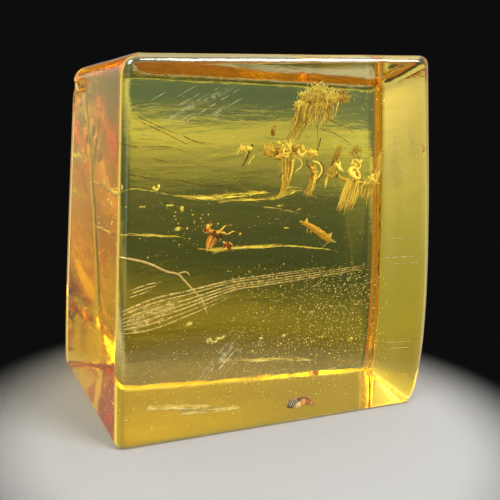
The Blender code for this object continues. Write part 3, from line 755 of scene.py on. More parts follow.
BRUSH_ROWS = [
    ((11.74, 10.36), (12.36, 10.26)), ((11.36, 9.58), (12.22, 9.66)), ((11.08, 8.86), (11.86, 8.86))]
BRUSH_LEFT_HAIRS = [
    ((10.95, 11.05), (11.22, 11.10)), ((11.15, 11.55), (11.45, 11.62)), ((11.42, 12.05), (11.70, 12.15))]
BRUSH_RIGHT_HAIRS = [
    ((13.05, 10.25), (13.50, 10.45)), ((13.25, 10.95), (13.66, 11.05)), ((13.58, 11.75), (13.86, 11.88))]
KNOT_HAIRS = [
    ((12.50, 10.12), (13.35, 10.22)), ((12.42, 9.80), (13.25, 9.80)), ((12.32, 9.50), (13.10, 9.42))]
FRILL = [
    (11.98, 11.02), (12.05, 11.20), (12.22, 11.24), (12.38, 11.16), (12.46, 11.00), (12.38, 10.86),
    (12.18, 10.84)]
BRUSH_STEM = [(11.05, 10.72), (11.55, 10.40), (12.10, 10.30), (12.70, 10.20), (13.15, 10.25)]


class AMBER_OT_stamen_brush(bpy.types.Operator):
    """The brush of parallel fibres with its rings, frill, petals and loose strands"""

    bl_idname = "amber.stamen_brush"
    bl_label = "Stamen brush"

    def execute(self, context):
        hair = settings().inclusions.hair_radius
        draw = random.Random(settings().inclusions.seed + 2)
        shape = Shape()
        strand(shape, BRUSH_STEM, 0.07, 0.45, 20, 0.9)
        leaf(shape, (12.08, 10.38), (11.78, 9.20), 0.27, 0.55, 0.05, 0.03, 0.10)
        bundle(shape, draw, BRUSH_ROWS, 70, hair * 1.7, 0.24, 0.025, (0.25, 1.0), 0.75)
        loop(shape, (12.12, 10.62), 0.30, 0.085, 0.78, -38.0, back=-0.18)
        bud(shape, (12.06, 10.60), (0.10, 0.07, 0.11), 0.9, -0.18)
        bud(shape, (12.14, 10.60), (0.22, 0.10, 0.16), 0.25, -0.06)
        strand(shape, FRILL, 0.045, 0.95, 22, 0.9, -0.12)
        bud(shape, (12.25, 11.00), (0.16, 0.09, 0.14), 0.45)
        bud(shape, (12.50, 11.17), (0.06, 0.06, 0.07), 1.0, -0.14)
        leaf(shape, (11.10, 11.10), (11.54, 10.68), 0.11, 0.95, back=-0.15)
        leaf(shape, (11.02, 11.14), (11.12, 10.84), 0.05, 0.90, back=-0.12)
        leaf(shape, (11.34, 11.18), (11.38, 10.96), 0.05, 1.0, back=-0.12)
        frizz(shape, draw, (10.98, 10.72), (0.30, 0.20, 0.18), 70, (0.12, 0.34), hair * 1.2, (0.30, 0.60))
        bud(shape, (11.20, 10.54), (0.06, 0.05, 0.06), 0.0, -0.14)
        leaf(shape, (10.78, 10.66), (10.57, 9.96), 0.08, 0.45)
        bundle(shape, draw, BRUSH_LEFT_HAIRS, 26, hair * 1.5, 0.2, 0.03, (0.05, 0.45), 0.6)
        frizz(shape, draw, (12.27, 11.58), (0.22, 0.30, 0.2), 60, (0.15, 0.35), hair * 1.1, (0.15, 0.42))
        loop(shape, (13.20, 10.40), 0.16, 0.045, 0.8, -30.0, back=-0.14)
        strand(shape, [(12.72, 10.10), (12.96, 10.28), (13.10, 10.52)], 0.035, 0.95, back=-0.16)
        strand(shape, [(12.84, 10.46), (13.06, 10.28), (13.46, 10.12)], 0.035, 0.95, back=-0.16)
        bud(shape, (12.62, 10.14), (0.08, 0.06, 0.07), 1.0, -0.15)
        frizz(shape, draw, (12.98, 10.22), (0.36, 0.20, 0.18), 70, (0.15, 0.40), hair * 1.6, (0.45, 1.0), 3.2)
        bundle(shape, draw, KNOT_HAIRS, 34, hair * 1.8, 0.2, 0.04, (0.15, 0.95), 0.7)
        strand(shape, [(12.95, 10.05), (12.84, 9.62), (12.74, 9.12)], hair * 1.3, 0.8)
        strand(shape, [(13.12, 10.05), (13.08, 9.55), (13.00, 9.14)], hair * 1.3, 0.6)
        bundle(shape, draw, BRUSH_RIGHT_HAIRS, 24, hair * 1.9, 0.2, 0.03, (0.20, 0.75), 0.75)
        piece = shape.finish("stamen_brush_fibres", plant_material())
        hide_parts("stamen_brush")
        return {"FINISHED"}


class AMBER_OT_plant_fragment(bpy.types.Operator):
    """The loose rod and tuft left of the sprig"""

    bl_idname = "amber.plant_fragment"
    bl_label = "Plant fragment"

    def execute(self, context):
        hair = settings().inclusions.hair_radius
        draw = random.Random(settings().inclusions.seed + 3)
        shape = Shape()
        strand(shape, [(7.06, 11.98), (6.90, 11.66), (6.72, 11.34), (6.53, 11.03)], 0.045, 0.02, 14, 0.7)
        strand(shape, [(6.92, 11.86), (6.78, 11.60), (6.62, 11.32)], 0.040, 0.40, 12, 0.7, -0.05)
        strand(shape, [(7.12, 11.50), (6.95, 11.30), (6.75, 11.08)], 0.024, 0.80, 10)
        strand(shape, [(6.27, 11.52), (6.40, 11.68), (6.56, 11.80)], 0.024, 0.85, 10)
        bud(shape, (6.88, 11.76), (0.13, 0.09, 0.11), 0.95, -0.08)
        bud(shape, (6.58, 11.80), (0.13, 0.09, 0.11), 0.70)
        frizz(shape, draw, (6.60, 11.80), (0.15, 0.12, 0.10), 30, (0.10, 0.22), hair * 1.3, (0.6, 0.95))
        piece = shape.finish("plant_fragment_rods", plant_material())
        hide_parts("plant_fragment")
        return {"FINISHED"}


# Insects


FLY_COLOURS = [
    (0.0, (0.015, 0.003, 0.008)), (0.25, (0.09, 0.010, 0.008)), (0.5, (0.30, 0.06, 0.015)),
    (0.75, (0.75, 0.28, 0.06)), (1.0, (1.0, 0.80, 0.50))]
# Balls of the fly: place, half lengths, tone, lean and depth behind the layer. The three small pale balls of
# tone 0.90 to 0.98, in front of the body and head, are painted highlights.
FLY_BODY_AND_PAINTED_HIGHLIGHTS = [
    ((5.04, 8.22), (0.20, 0.15, 0.14), 0.30, -25, 0.0), ((5.26, 8.10), (0.19, 0.15, 0.13), 0.02, -20, 0.0),
    ((5.22, 8.22), (0.10, 0.07, 0.07), 0.90, -40, -0.10), ((4.94, 8.30), (0.10, 0.06, 0.05), 0.95, 0, -0.10),
    ((4.80, 8.38), (0.12, 0.11, 0.19), 0.72, 20, 0.0), ((4.72, 8.42), (0.08, 0.09, 0.14), 0.35, 10, 0.03),
    ((4.76, 8.52), (0.07, 0.06, 0.07), 0.98, 0, -0.09), ((5.44, 8.10), (0.08, 0.07, 0.08), 0.40, 0, -0.03),
]
FLY_LIMBS = [
    ([(5.14, 8.22), (5.34, 8.30), (5.42, 8.38), (5.58, 8.50)], 0.050, 0.92),
    ([(5.58, 8.50), (5.74, 8.52), (5.90, 8.52)], 0.018, 0.75),
    ([(5.30, 8.14), (5.48, 8.24), (5.66, 8.14), (5.94, 8.26)], 0.046, 0.95),
    ([(5.94, 8.26), (6.06, 8.22), (6.20, 8.18)], 0.020, 0.70),
    ([(5.46, 8.12), (5.36, 7.98), (5.28, 7.86)], 0.026, 0.92),
    ([(4.80, 8.50), (4.88, 8.52), (4.98, 8.60)], 0.030, 0.98),
    ([(4.84, 8.52), (4.88, 8.66), (4.92, 8.76)], 0.014, 0.70),
    ([(4.66, 8.20), (4.62, 8.36), (4.70, 8.52)], 0.026, 0.40),
    ([(4.92, 8.32), (4.98, 8.20), (5.06, 8.12)], 0.040, 0.55),
]
WING_VEINS = 4
FLY_FLECK = [
    ((5.60, 7.66), (0.15, 0.10, 0.13), 0.45, -20, 0.0), ((5.74, 7.60), (0.10, 0.09, 0.11), 0.25, -30, 0.02),
    ((5.50, 7.78), (0.10, 0.04, 0.03), 0.95, -30, -0.06),
    ((5.80, 7.72), (0.11, 0.04, 0.03), 0.90, -42, -0.08),
    ((5.54, 7.52), (0.07, 0.05, 0.05), 0.98, 30, -0.06),
]


class AMBER_OT_fly(bpy.types.Operator):
    """The red-brown fly with its amber wing and long legs, and pale balls on its body and head as painted
    highlights
    """

    bl_idname = "amber.fly"
    bl_label = "Fly"

    def execute(self, context):
        draw = random.Random(settings().inclusions.seed + 4)
        shape = Shape()
        # These balls include the painted highlights on the body and head.
        for centre, size, tone, lean, back in FLY_BODY_AND_PAINTED_HIGHLIGHTS + FLY_FLECK:
            bud(shape, centre, size, tone, back, lean, 0.45)
        for points, radius, tone in FLY_LIMBS:
            strand(shape, points, radius, tone, 10, 0.6, -0.04)
        leaf(shape, (5.02, 8.14), (4.68, 7.43), 0.20, 0.72, 0.025, 0.05)
        leaf(shape, (5.16, 8.02), (4.74, 7.46), 0.12, 0.80, 0.020, 0.12, 0.03)
        for number in range(WING_VEINS):
            share = number / (WING_VEINS - 1)
            vein = [(4.92 + 0.2 * share, 8.06), (4.80 + 0.16 * share, 7.78), (4.70 + 0.02 * share, 7.46)]
            strand(shape, vein, 0.012, 0.98 if share in (0.0, 1.0) else 0.35, 10, 0.7, -0.05)
        bud(shape, (6.26, 8.12), (0.06, 0.04, 0.035), 1.0, -0.05, 35)
        frizz(shape, draw, (4.78, 8.44), (0.12, 0.16, 0.1), 22, (0.08, 0.2), 0.010, (0.3, 0.9), 1.0)
        frizz(shape, draw, (5.62, 7.66), (0.16, 0.12, 0.1), 20, (0.08, 0.18), 0.012, (0.3, 0.9), 1.5)
        piece = shape.finish("fly_body", insect_material("fly_skin", FLY_COLOURS))
        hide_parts("fly")
        return {"FINISHED"}


MIDGE_COLOURS = [
    (0.0, (0.22, 0.09, 0.01)), (0.35, (0.50, 0.26, 0.04)), (0.6, (0.80, 0.52, 0.10)),
    (0.85, (0.95, 0.80, 0.30)), (1.0, (0.95, 0.90, 0.62))]
MIDGE_RINGS = 22
MIDGE_BODY = [(9.34, 8.50), (9.66, 8.38), (10.02, 8.16), (10.36, 7.94), (10.64, 7.76), (10.86, 7.62)]
MIDGE_RADII = [0.07, 0.12, 0.16, 0.17, 0.13, 0.06]


class AMBER_OT_midge(bpy.types.Operator):
    """The slender orange midge"""

    bl_idname = "amber.midge"
    bl_label = "Midge"

    def execute(self, context):
        draw = random.Random(settings().inclusions.seed + 5)
        shape = Shape()
        knots = smooth_path([in_layer(x, z) for x, z in MIDGE_BODY], MIDGE_RINGS)
        places = np.linspace(0, MIDGE_RINGS - 1, len(MIDGE_RADII))
        rings = range(MIDGE_RINGS)
        radii = [np.interp(i, places, MIDGE_RADII) * (1 + 0.06 * math.sin(i * 2.1)) for i in rings]
        shape.tube(knots, radii, 12, 0.62)
        bud(shape, (9.38, 8.48), (0.10, 0.09, 0.09), 0.45, lean=-30)
        bud(shape, (9.26, 8.54), (0.05, 0.05, 0.05), 0.95, -0.03)
        leaf(shape, (9.52, 8.38), (9.62, 8.72), 0.10, 0.85, 0.02)
        leaf(shape, (10.64, 7.70), (11.10, 7.56), 0.06, 0.95, 0.02)
        leaf(shape, (10.66, 7.72), (10.88, 8.02), 0.07, 0.90, 0.02)
        strand(shape, [(10.62, 7.66), (10.70, 7.82), (10.70, 8.00)], 0.020, 0.95, 8)
        strand(shape, [(10.72, 7.60), (10.52, 7.50), (10.34, 7.34)], 0.016, 0.90, 10)
        strand(shape, [(9.86, 8.20), (9.76, 8.06), (9.80, 7.94)], 0.020, 0.80, 8)
        strand(shape, [(9.70, 8.30), (9.56, 8.14), (9.60, 8.02)], 0.020, 0.90, 8)
        frizz(shape, draw, (10.72, 7.72), (0.18, 0.10, 0.08), 14, (0.08, 0.22), 0.010, (0.6, 1.0), 1.0)
        skin = insect_material("midge_skin", MIDGE_COLOURS, clearness=0.45)
        piece = shape.finish("midge_body", skin)
        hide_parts("midge")
        return {"FINISHED"}


# The last, bluish white stop is the colour of painted highlights; the ribs are drawn in it.
BEETLE_COLOURS = [
    (0.0, (0.006, 0.006, 0.014)), (0.2, (0.05, 0.01, 0.012)), (0.4, (0.30, 0.08, 0.02)),
    (0.6, (0.75, 0.33, 0.06)), (0.8, (0.95, 0.62, 0.36)), (1.0, (0.82, 0.84, 0.92))]
BEETLE_FOOT = -0.16
BEETLE_HIGHLIGHT_RIBS = 5
BEETLE_BRISTLES = 22
BEETLE_PARTS = [
    ((8.50, 0.60), (0.25, 0.15, 0.16), 0.0, 32), ((8.80, 0.72), (0.14, 0.12, 0.10), 0.16, 30),
    ((8.80, 0.52), (0.18, 0.14, 0.15), 0.80, 40), ((9.08, 0.62), (0.16, 0.14, 0.18), 0.62, 0),
    ((9.28, 0.58), (0.17, 0.13, 0.13), 0.45, 0), ((9.52, 0.52), (0.18, 0.12, 0.13), 0.52, -20),
    ((9.18, 0.74), (0.24, 0.10, 0.09), 0.30, -12),
]


class AMBER_OT_beetle(bpy.types.Operator):
    """The small ribbed beetle at the foot of the block, its ribs drawn pale as painted highlights"""

    bl_idname = "amber.beetle"
    bl_label = "Beetle"

    def execute(self, context):
        draw = random.Random(settings().inclusions.seed + 6)
        shape = Shape()
        for (x, z), size, tone, lean in BEETLE_PARTS:
            bud(shape, (x, z + BEETLE_FOOT), size, tone, 0.0, lean, 0.3)
        # The ribs are thin, nearly white strokes in front of the body: ribs painted as highlights.
        for number in range(BEETLE_HIGHLIGHT_RIBS):
            x = 8.33 + 0.085 * number
            z = 0.56 + 0.045 * number + BEETLE_FOOT
            rib = [(x - 0.05, z + 0.10), (x + 0.01, z + 0.02), (x + 0.06, z - 0.09)]
            strand(shape, rib, 0.016, 0.98, 8, 0.8, -0.145)
        for number in range(BEETLE_BRISTLES):
            share = number / (BEETLE_BRISTLES - 1)
            x = 8.30 + 1.2 * share
            z = 0.66 + 0.14 * math.sin(math.pi * share) + BEETLE_FOOT
            strand(shape, [(x, z), (x - 0.03 + 0.05 * share, z + draw.uniform(0.10, 0.22))], 0.016,
                   draw.uniform(0.45, 0.75), 4, 0.5, draw.uniform(-0.1, 0.1))
        skin = insect_material("beetle_skin", BEETLE_COLOURS, (0.12, 0.4))
        piece = shape.finish("beetle_body", skin)
        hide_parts("beetle")
        return {"FINISHED"}


# Cracks, marks and specks of the amber itself


def flaw_material(name, colour, low, high, scale=3.0, stretch=(1.0, 1.0, 1.0), most=1.0, specular_and_painted_highlight=0.6):
    """A thin bright flaw that breaks up unevenly along its length. most is how solid it gets. A grain texture
    runs its colour from darker, through the colour, to a whitish painted highlight;
    specular_and_painted_highlight sets both the specular level and the strength of these painted highlights.
    """
    material, tree, shader = shader_material(name, roughness=0.35, specular_ior_level=specular_and_painted_highlight * 0.8)
    patches = noise_at(tree, object_point(tree, stretch), scale, 4.0, 0.65)
    grain = noise_at(tree, object_point(tree), 14.0, 2.0, 0.6)
    broken = remap(tree, patches, low, high, 0.0, most * 2)
    tree.links.new(combine(tree, "MULTIPLY", broken, tone_of(tree)), shader.inputs["Alpha"])
    colour = Vector(colour)
    # The whitish colour is a painted highlight, spread in streaks by the grain texture.
    painted_highlight_colour = colour.lerp(Vector((1.0, 1.0, 0.85)), specular_and_painted_highlight)
    tree.links.new(ramp(tree, grain, [(0.3, colour * (1 - specular_and_painted_highlight)), (0.5, colour), (0.7, painted_highlight_colour)]),
                   shader.inputs["Base Color"])
    return material


def sliver(shape, stations, bulge, tones):
    """A thin closed strip. Each station is its near and far edge, in millimetres, and bulge is how far
    its middle swells to both sides. tones holds the four tones round each station."""
    first = len(shape.points)
    for (near, far), around in zip(stations, tones):
        middle = near.lerp(far, 0.5)
        for point, tone in zip((near, middle + bulge, far, middle - bulge), around):
            shape.add(point, tone)
    shape.skin(first, len(stations), 4)


# A flat crack falls by this much for each millimetre into the block, and starts this far behind the layer
SIGHT_DROP = -0.075
NEAR_EDGE = 0.1
# Tones of a gold crack at its near edge, the swelling of its middle, its far edge and the other swelling
CRACK_TONES = (0.65, 0.52, 0.1625, 0.52)


def gold_crack(shape, draw, points, opening, depth):
    """A flat crack that runs back from near the layer. points are (x, z) of its near edge, and opening
    is how much of its face shows at each of them, by how far its far edge leaves the sight line."""
    count = len(points) * 5
    line = smooth_path([Vector((x, 0.0, z)) for x, z in points], count)
    stations = []
    for i, near in enumerate(line):
        share = i / (count - 1)
        open_here = float(np.interp(share, np.linspace(0, 1, len(opening)), opening))
        behind = NEAR_EDGE + draw.uniform(0.0, 0.1)
        start = in_layer(near.x, near.z) + Vector((0.0, behind, draw.uniform(-0.012, 0.012)))
        ends = min(1.0, share / 0.04, (1 - share) / 0.04)
        ragged = draw.uniform(0.7, 1.3)
        far = start + Vector((0.0, depth * max(ends, 0.05), depth * SIGHT_DROP + open_here * ragged))
        stations.append((start, far))
    sliver(shape, stations, Vector((0.0, 0.0, 0.006)), [CRACK_TONES] * count)


GOLD_CRACKS = [
    ([(1.51, 10.13), (2.57, 9.99), (4.13, 9.64), (5.58, 9.57)], (0.01, 0.02, 0.05, 0.07), 1.5),
    ([(3.47, 9.79), (4.26, 9.68), (5.59, 9.63), (7.26, 9.74), (7.95, 9.85)],
     (0.03, 0.10, 0.16, 0.15, 0.06), 1.7),
    ([(5.43, 9.52), (6.83, 9.52), (8.23, 9.58), (9.37, 9.88), (10.24, 9.61)],
     (0.02, 0.04, 0.04, 0.06, 0.02), 1.5),
    ([(8.57, 10.04), (8.98, 10.07), (9.48, 10.01)], (0.02, 0.05, 0.02), 0.8),
    ([(0.92, 8.33), (2.29, 8.17), (3.79, 8.04)], (0.02, 0.06, 0.02), 1.3),
    ([(4.40, 7.53), (5.02, 7.41), (5.97, 7.45), (7.24, 7.45)], (0.02, 0.05, 0.03, 0.02), 1.3),
    ([(4.98, 7.35), (6.65, 7.44), (8.78, 7.43), (11.24, 7.12)], (0.02, 0.04, 0.04, 0.02), 1.3),
    ([(7.61, 9.20), (8.09, 9.11), (9.24, 8.94)], (0.03, 0.07, 0.02), 1.0),
    ([(5.22, 2.65), (7.04, 2.49), (9.87, 2.22)], (0.02, 0.04, 0.02), 1.0),
    ([(1.75, 1.05), (3.20, 0.88), (4.80, 0.70)], (0.03, 0.08, 0.02), 1.1),
    ([(3.20, 0.66), (4.60, 0.56), (6.20, 0.50)], (0.03, 0.06, 0.02), 1.1),
]
FLECKS = [
    (3.56, 4.40, 0.14, 0.06), (3.80, 4.50, 0.13, 0.08), (4.66, 3.70, 0.13, 0.09), (4.90, 3.62, 0.16, 0.06),
    (5.14, 3.74, 0.17, 0.07), (5.36, 3.81, 0.10, 0.05), (7.12, 3.55, 0.09, 0.05), (8.27, 3.57, 0.08, 0.06),
    (9.04, 3.81, 0.08, 0.05), (2.60, 10.14, 0.10, 0.05), (2.72, 10.26, 0.06, 0.09), (2.50, 10.22, 0.05, 0.06),
    (3.70, 9.32, 0.08, 0.13), (3.44, 8.50, 0.13, 0.08), (1.97, 9.45, 0.12, 0.02), (3.18, 9.50, 0.16, 0.03),
    (1.01, 8.80, 0.14, 0.03), (0.99, 8.56, 0.18, 0.03), (1.20, 8.40, 0.10, 0.03), (8.27, 9.32, 0.16, 0.03),
    (9.26, 9.11, 0.10, 0.03), (8.62, 8.34, 0.12, 0.03), (4.61, 8.73, 0.05, 0.04), (2.46, 4.67, 0.06, 0.04)]


class AMBER_OT_cracks(bpy.types.Operator):
    """Flat gold cracks inside the amber, seen nearly edge on, and bright flecks"""

    bl_idname = "amber.cracks"
    bl_label = "Cracks"

    def execute(self, context):
        draw = random.Random(settings().inclusions.seed + 7)
        shape = Shape()
        for points, opening, depth in GOLD_CRACKS:
            gold_crack(shape, draw, points, opening, depth)
        for x, z, across, up in FLECKS:
            shape.ball(in_layer(x, z, 0.2), (across, 0.03, up), None, 1.0, 9, 14, 0.8)
        # The gold cracks keep the default, strongest whitish painted highlights in their colour.
        gold = flaw_material("gold_crack", (1.0, 0.98, 0.60), 0.40, 0.58, stretch=(0.35, 1.0, 1.0))
        shape.finish("gold_cracks", gold)
        return {"FINISHED"}


# How far these marks lie behind the front face
SCRATCH_DEPTH = 0.035
CRACK_DEPTH = 0.05
VEIN_DEPTH = 0.6


def scratch(shape, points, width, y=SCRATCH_DEPTH, tones=(0.5, 0.5), thin_end=1.0):
    """A sliver along (x, z) points that lies y millimetres behind the front face."""
    count = len(points) * 6
    line = smooth_path([Vector((x, y, z)) for x, z in points], count)
    stations, shades = [], []
    for i, here in enumerate(line):
        along = line[min(i + 1, count - 1)] - line[max(i - 1, 0)]
        across = Vector((-along.z, 0.0, along.x)).normalized()
        ends = min(1.0, i / 3 + 0.15, (count - 1 - i) / 3 + 0.15)
        half = width / 2 * ends * (1 + (thin_end - 1) * i / count)
        stations.append((here + across * half, here - across * half))
        shades.append([tones[0] + (tones[1] - tones[0]) * i / (count - 1)] * 4)
    sliver(shape, stations, Vector((0.0, 0.006, 0.0)), shades)


CURVED_CRACK = [
    (0.31, 8.04), (1.39, 7.74), (2.12, 7.37), (2.63, 7.21), (2.86, 6.99), (3.29, 6.51), (3.69, 6.06),
    (3.96, 5.40)]
CRACK_BRANCH = [(2.61, 7.22), (2.98, 7.27), (3.15, 7.10)]
ARC_LINES = 7
ARC_UPPER = [
    (0.42, 5.87), (1.73, 6.31), (3.16, 6.52), (4.95, 6.80), (6.19, 6.88), (9.24, 7.06), (11.44, 7.18)]
ARC_LOWER = [
    (0.51, 4.97), (1.63, 5.05), (2.94, 5.42), (4.98, 6.12), (6.23, 6.23), (9.29, 6.48), (11.48, 6.73)]
ARC_SMEARS = 45
ARC_STROKES = 3
BROWN_VEINS = [
    [(1.05, 13.11), (1.74, 12.82), (2.53, 12.46), (3.13, 12.16)],
    [(0.82, 13.36), (1.54, 13.04), (2.32, 12.72), (2.8, 12.53)],
    [(0.49, 12.26), (1.17, 12.12), (2.14, 12.12), (3.06, 11.93)],
    [(0.5, 11.19), (1.57, 10.95), (2.76, 10.82), (3.79, 10.6), (4.93, 10.62)],
    [(3.05, 10.54), (3.58, 10.73), (4.2, 10.83), (4.98, 10.66)],
    [(2.72, 12.61), (3.33, 12.35), (4.11, 12.24)],
    [(8.78, 13.55), (9.18, 13.23), (9.92, 12.99), (10.48, 12.63)],
    [(8.65, 12.9), (9.42, 12.7), (10.22, 12.29)],
    [(3.8, 10.45), (4.51, 10.55), (5.29, 10.45)],
    [(1.56, 11.71), (2.43, 11.55), (3.39, 11.62)],
]
STRIP_LINES = [
    [(11.94, 11.91), (12.77, 11.86)], [(12.19, 12.46), (12.91, 11.51)], [(12.10, 11.35), (13.23, 10.55)],
    [(12.39, 11.52), (13.31, 10.72)], [(12.95, 12.97), (13.54, 11.51)], [(11.91, 11.18), (12.63, 10.30)],
    [(10.54, 15.05), (11.22, 15.00)], [(10.81, 15.22), (11.35, 15.16)], [(12.00, 7.28), (14.16, 7.24)],
    [(12.24, 6.99), (14.41, 6.95)], [(12.52, 3.25), (14.19, 3.16)], [(12.77, 2.93), (14.11, 2.87)],
    [(12.44, 8.17), (13.74, 8.01)], [(9.58, 14.62), (10.20, 14.52)], [(9.84, 14.31), (10.42, 14.21)],
]
# Fine scratches that run side by side: how many, then their x, z, reach, slope and width
FINE_SCRATCHES = [
    (26, (1.2, 3.9), (12.8, 14.0), (0.5, 1.9), 0.58, (0.012, 0.020)),
    (16, (3.6, 4.6), (2.4, 3.2), (0.5, 1.6), 1.1, (0.015, 0.035)),
]
# Height at which the scratches on the front face end
FRONT_TOP = 14.9


class AMBER_OT_surface_marks(bpy.types.Operator):
    """Scratches and the curved crack just under the front face"""

    bl_idname = "amber.surface_marks"
    bl_label = "Surface marks"

    def execute(self, context):
        draw = random.Random(settings().inclusions.seed + 8)
        band = Shape()
        for number in range(ARC_LINES):
            share = (number + draw.uniform(-0.1, 0.1)) / (ARC_LINES - 1)
            line = [Vector(high).lerp(Vector(low), share) for high, low in zip(ARC_UPPER, ARC_LOWER)]
            end = 4 if number > 4 else draw.choice((6, 7, 7))
            scratch(band, line[:end], draw.uniform(0.10, 0.13), tones=(0.50, 0.35), thin_end=0.30)
        for _ in range(ARC_SMEARS):
            x = 0.55 + draw.random() ** 1.5 * 2.0
            z = 4.92 + draw.random() * 0.95 + (x - 0.55) * 0.24
            reach = draw.uniform(0.25, 0.7)
            smear = [(x, z), (x + reach, z + reach * 0.26)]
            scratch(band, smear, draw.uniform(0.05, 0.11), tones=(0.35, 0.20))
        for number in range(ARC_STROKES):
            foot = 6.68 - 0.14 * number
            scratch(band, [(0.70, foot), (1.32, foot + 0.17), (2.0 - 0.2 * number, foot + 0.28)], 0.06)
        tan = flaw_material("tan_scratch", (0.95, 0.72, 0.22), 0.30, 0.56, 5.0, most=0.75, specular_and_painted_highlight=0.10)
        band.finish("arc_scratches", tan)
        fine = Shape()
        for count, across, up, lengths, slope, widths in FINE_SCRATCHES:
            for _ in range(count):
                x, z = draw.uniform(*across), draw.uniform(*up)
                reach = min(draw.uniform(*lengths), (FRONT_TOP - z) / slope)
                scratch(fine, [(x, z), (x + reach, z + reach * slope)], draw.uniform(*widths))
        for points in STRIP_LINES:
            scratch(fine, points, 0.03, tones=(0.5, 0.35))
        pale = flaw_material("pale_scratch", (0.80, 0.74, 0.40), 0.40, 0.60, specular_and_painted_highlight=0.3)
        fine.finish("fine_scratches", pale)
        veins = Shape()
        for points in BROWN_VEINS:
            scratch(veins, points, draw.uniform(0.02, 0.04), VEIN_DEPTH)
            scratch(veins, [(x + 0.1, z - 0.07) for x, z in points[:3]], 0.02, VEIN_DEPTH)
        brown = flaw_material("brown_vein", (0.20, 0.10, 0.018), 0.36, 0.62, 4.0, most=0.75, specular_and_painted_highlight=0.05)
        veins.finish("brown_veins", brown)
        crack = Shape()
        scratch(crack, CURVED_CRACK, 0.11, CRACK_DEPTH, (0.5, 0.45), 0.6)
        scratch(crack, CRACK_BRANCH, 0.06, CRACK_DEPTH)
        edge = flaw_material("pale_crack", (0.80, 0.58, 0.18), 0.25, 0.45, specular_and_painted_highlight=0.2)
        crack.finish("curved_crack", edge)
        return {"FINISHED"}


# Each swarm of specks: its x, z and y, how many there are, and their half width
SWARMS = [
    ((6.0, 13.2), (1.5, 6.5), (0.5, 6.0), 1800, 0.019), ((8.4, 12.4), (3.0, 6.4), (0.3, 3.0), 500, 0.022),
    ((1.2, 13.0), (7.0, 14.0), (0.5, 6.0), 700, 0.012), ((1.0, 13.4), (0.3, 1.5), (0.4, 5.0), 300, 0.018),
    ((1.0, 7.0), (1.5, 4.5), (0.5, 5.0), 500, 0.015), ((7.0, 12.5), (2.2, 4.8), (2.0, 4.5), 26, 0.050),
    ((3.0, 5.2), (7.6, 9.4), (2.0, 5.0), 60, 0.025), ((11.5, 12.9), (13.6, 14.4), (2.0, 5.0), 24, 0.025),
]
SPECK_COLOURS = [(0.0, (0.50, 0.38, 0.10)), (0.25, (0.95, 0.88, 0.50)), (1.0, (1.0, 0.95, 0.70))]


class AMBER_OT_specks(bpy.types.Operator):
    """Fine specks in the amber"""

    bl_idname = "amber.specks"
    bl_label = "Specks"

    def execute(self, context):
        draw = random.Random(settings().inclusions.seed + 9)
        shape = Shape()
        for across, up, into, count, size in SWARMS:
            for _ in range(count):
                place = (draw.uniform(*across), draw.uniform(*into), draw.uniform(*up))
                half = size * draw.uniform(0.4, 1.3)
                sides = (half * draw.uniform(0.8, 1.8), half, half * draw.uniform(0.6, 1.1))
                shape.ball(place, sides, None, draw.random(), 4, 6, 0.6)
        material, tree, shader = shader_material("speck", roughness=0.35)
        grain = noise_at(tree, object_point(tree), 8.0, 2.0)
        colour = ramp(tree, mottled_tone(tree, grain, 0.4), SPECK_COLOURS)
        tree.links.new(colour, shader.inputs["Base Color"])
        shape.finish("specks_and_bubbles", material)
        return {"FINISHED"}


# Stage


FLOOR_RADIUS = 24.0
FLOOR_MIDDLE = (-1.0, -4.5)
FLOOR_FADE = (8.5, 14.0)
FLOOR_DROP = 0.02


def floor_material(tone):
    material, tree, shader = shader_material("pale_floor", base_color=(tone, tone, tone, 1.0), roughness=0.6)
    here = object_point(tree)
    length = tree.nodes.new("ShaderNodeVectorMath")
    length.operation = "LENGTH"
    tree.links.new(here, length.inputs[0])
    fade = remap(tree, length.outputs["Value"], *FLOOR_FADE, 1.0, 0.0)
    fade.node.interpolation_type = "SMOOTHSTEP"
    tree.links.new(fade, shader.inputs["Alpha"])
    bump(tree, shader, noise_at(tree, here, 3.0, 3.0), 0.1, 0.02)
    return material


def add_floor():
    bm = bmesh.new()
    bmesh.ops.create_circle(bm, cap_ends=True, segments=96, radius=FLOOR_RADIUS * MM)
    mesh = bpy.data.meshes.new("floor")
    bm.to_mesh(mesh)
    bm.free()
    floor = bpy.data.objects.new("floor", mesh)
    floor.location = (FLOOR_MIDDLE[0] * MM, FLOOR_MIDDLE[1] * MM, CAD_LOW.z - FLOOR_DROP * MM)
    mesh.materials.append(floor_material(settings().stage.floor_tone))
    bpy.context.scene.collection.objects.link(floor)


def mix(tree, share, first, second, blend="MIX"):
    """Two colours mixed by a share, each of the three a number, a colour or another node's output."""
    made = tree.nodes.new("ShaderNodeMix")
    made.data_type = "RGBA"
    made.blend_type = blend
    for key, value in (("Factor", share), ("A", first), ("B", second)):
        if isinstance(value, bpy.types.NodeSocket):
            tree.links.new(value, made.inputs[key])
        else:
            made.inputs[key].default_value = value
    return made.outputs["Result"]


def product(tree, first, second):
    return mix(tree, 1.0, first, second, "MULTIPLY")


def degree_ramp(tree, angle, stops):
    """A colour ramp through (degrees, colour) stops."""
    low, high = stops[0][0], stops[-1][0]
    shares = [((at - low) / (high - low), colour) for at, colour in stops]
    return ramp(tree, remap(tree, angle, low, high), shares)


def fade_in(tree, angle, start, end):
    share = remap(tree, angle, start, end)
    share.node.interpolation_type = "SMOOTHSTEP"
    return share


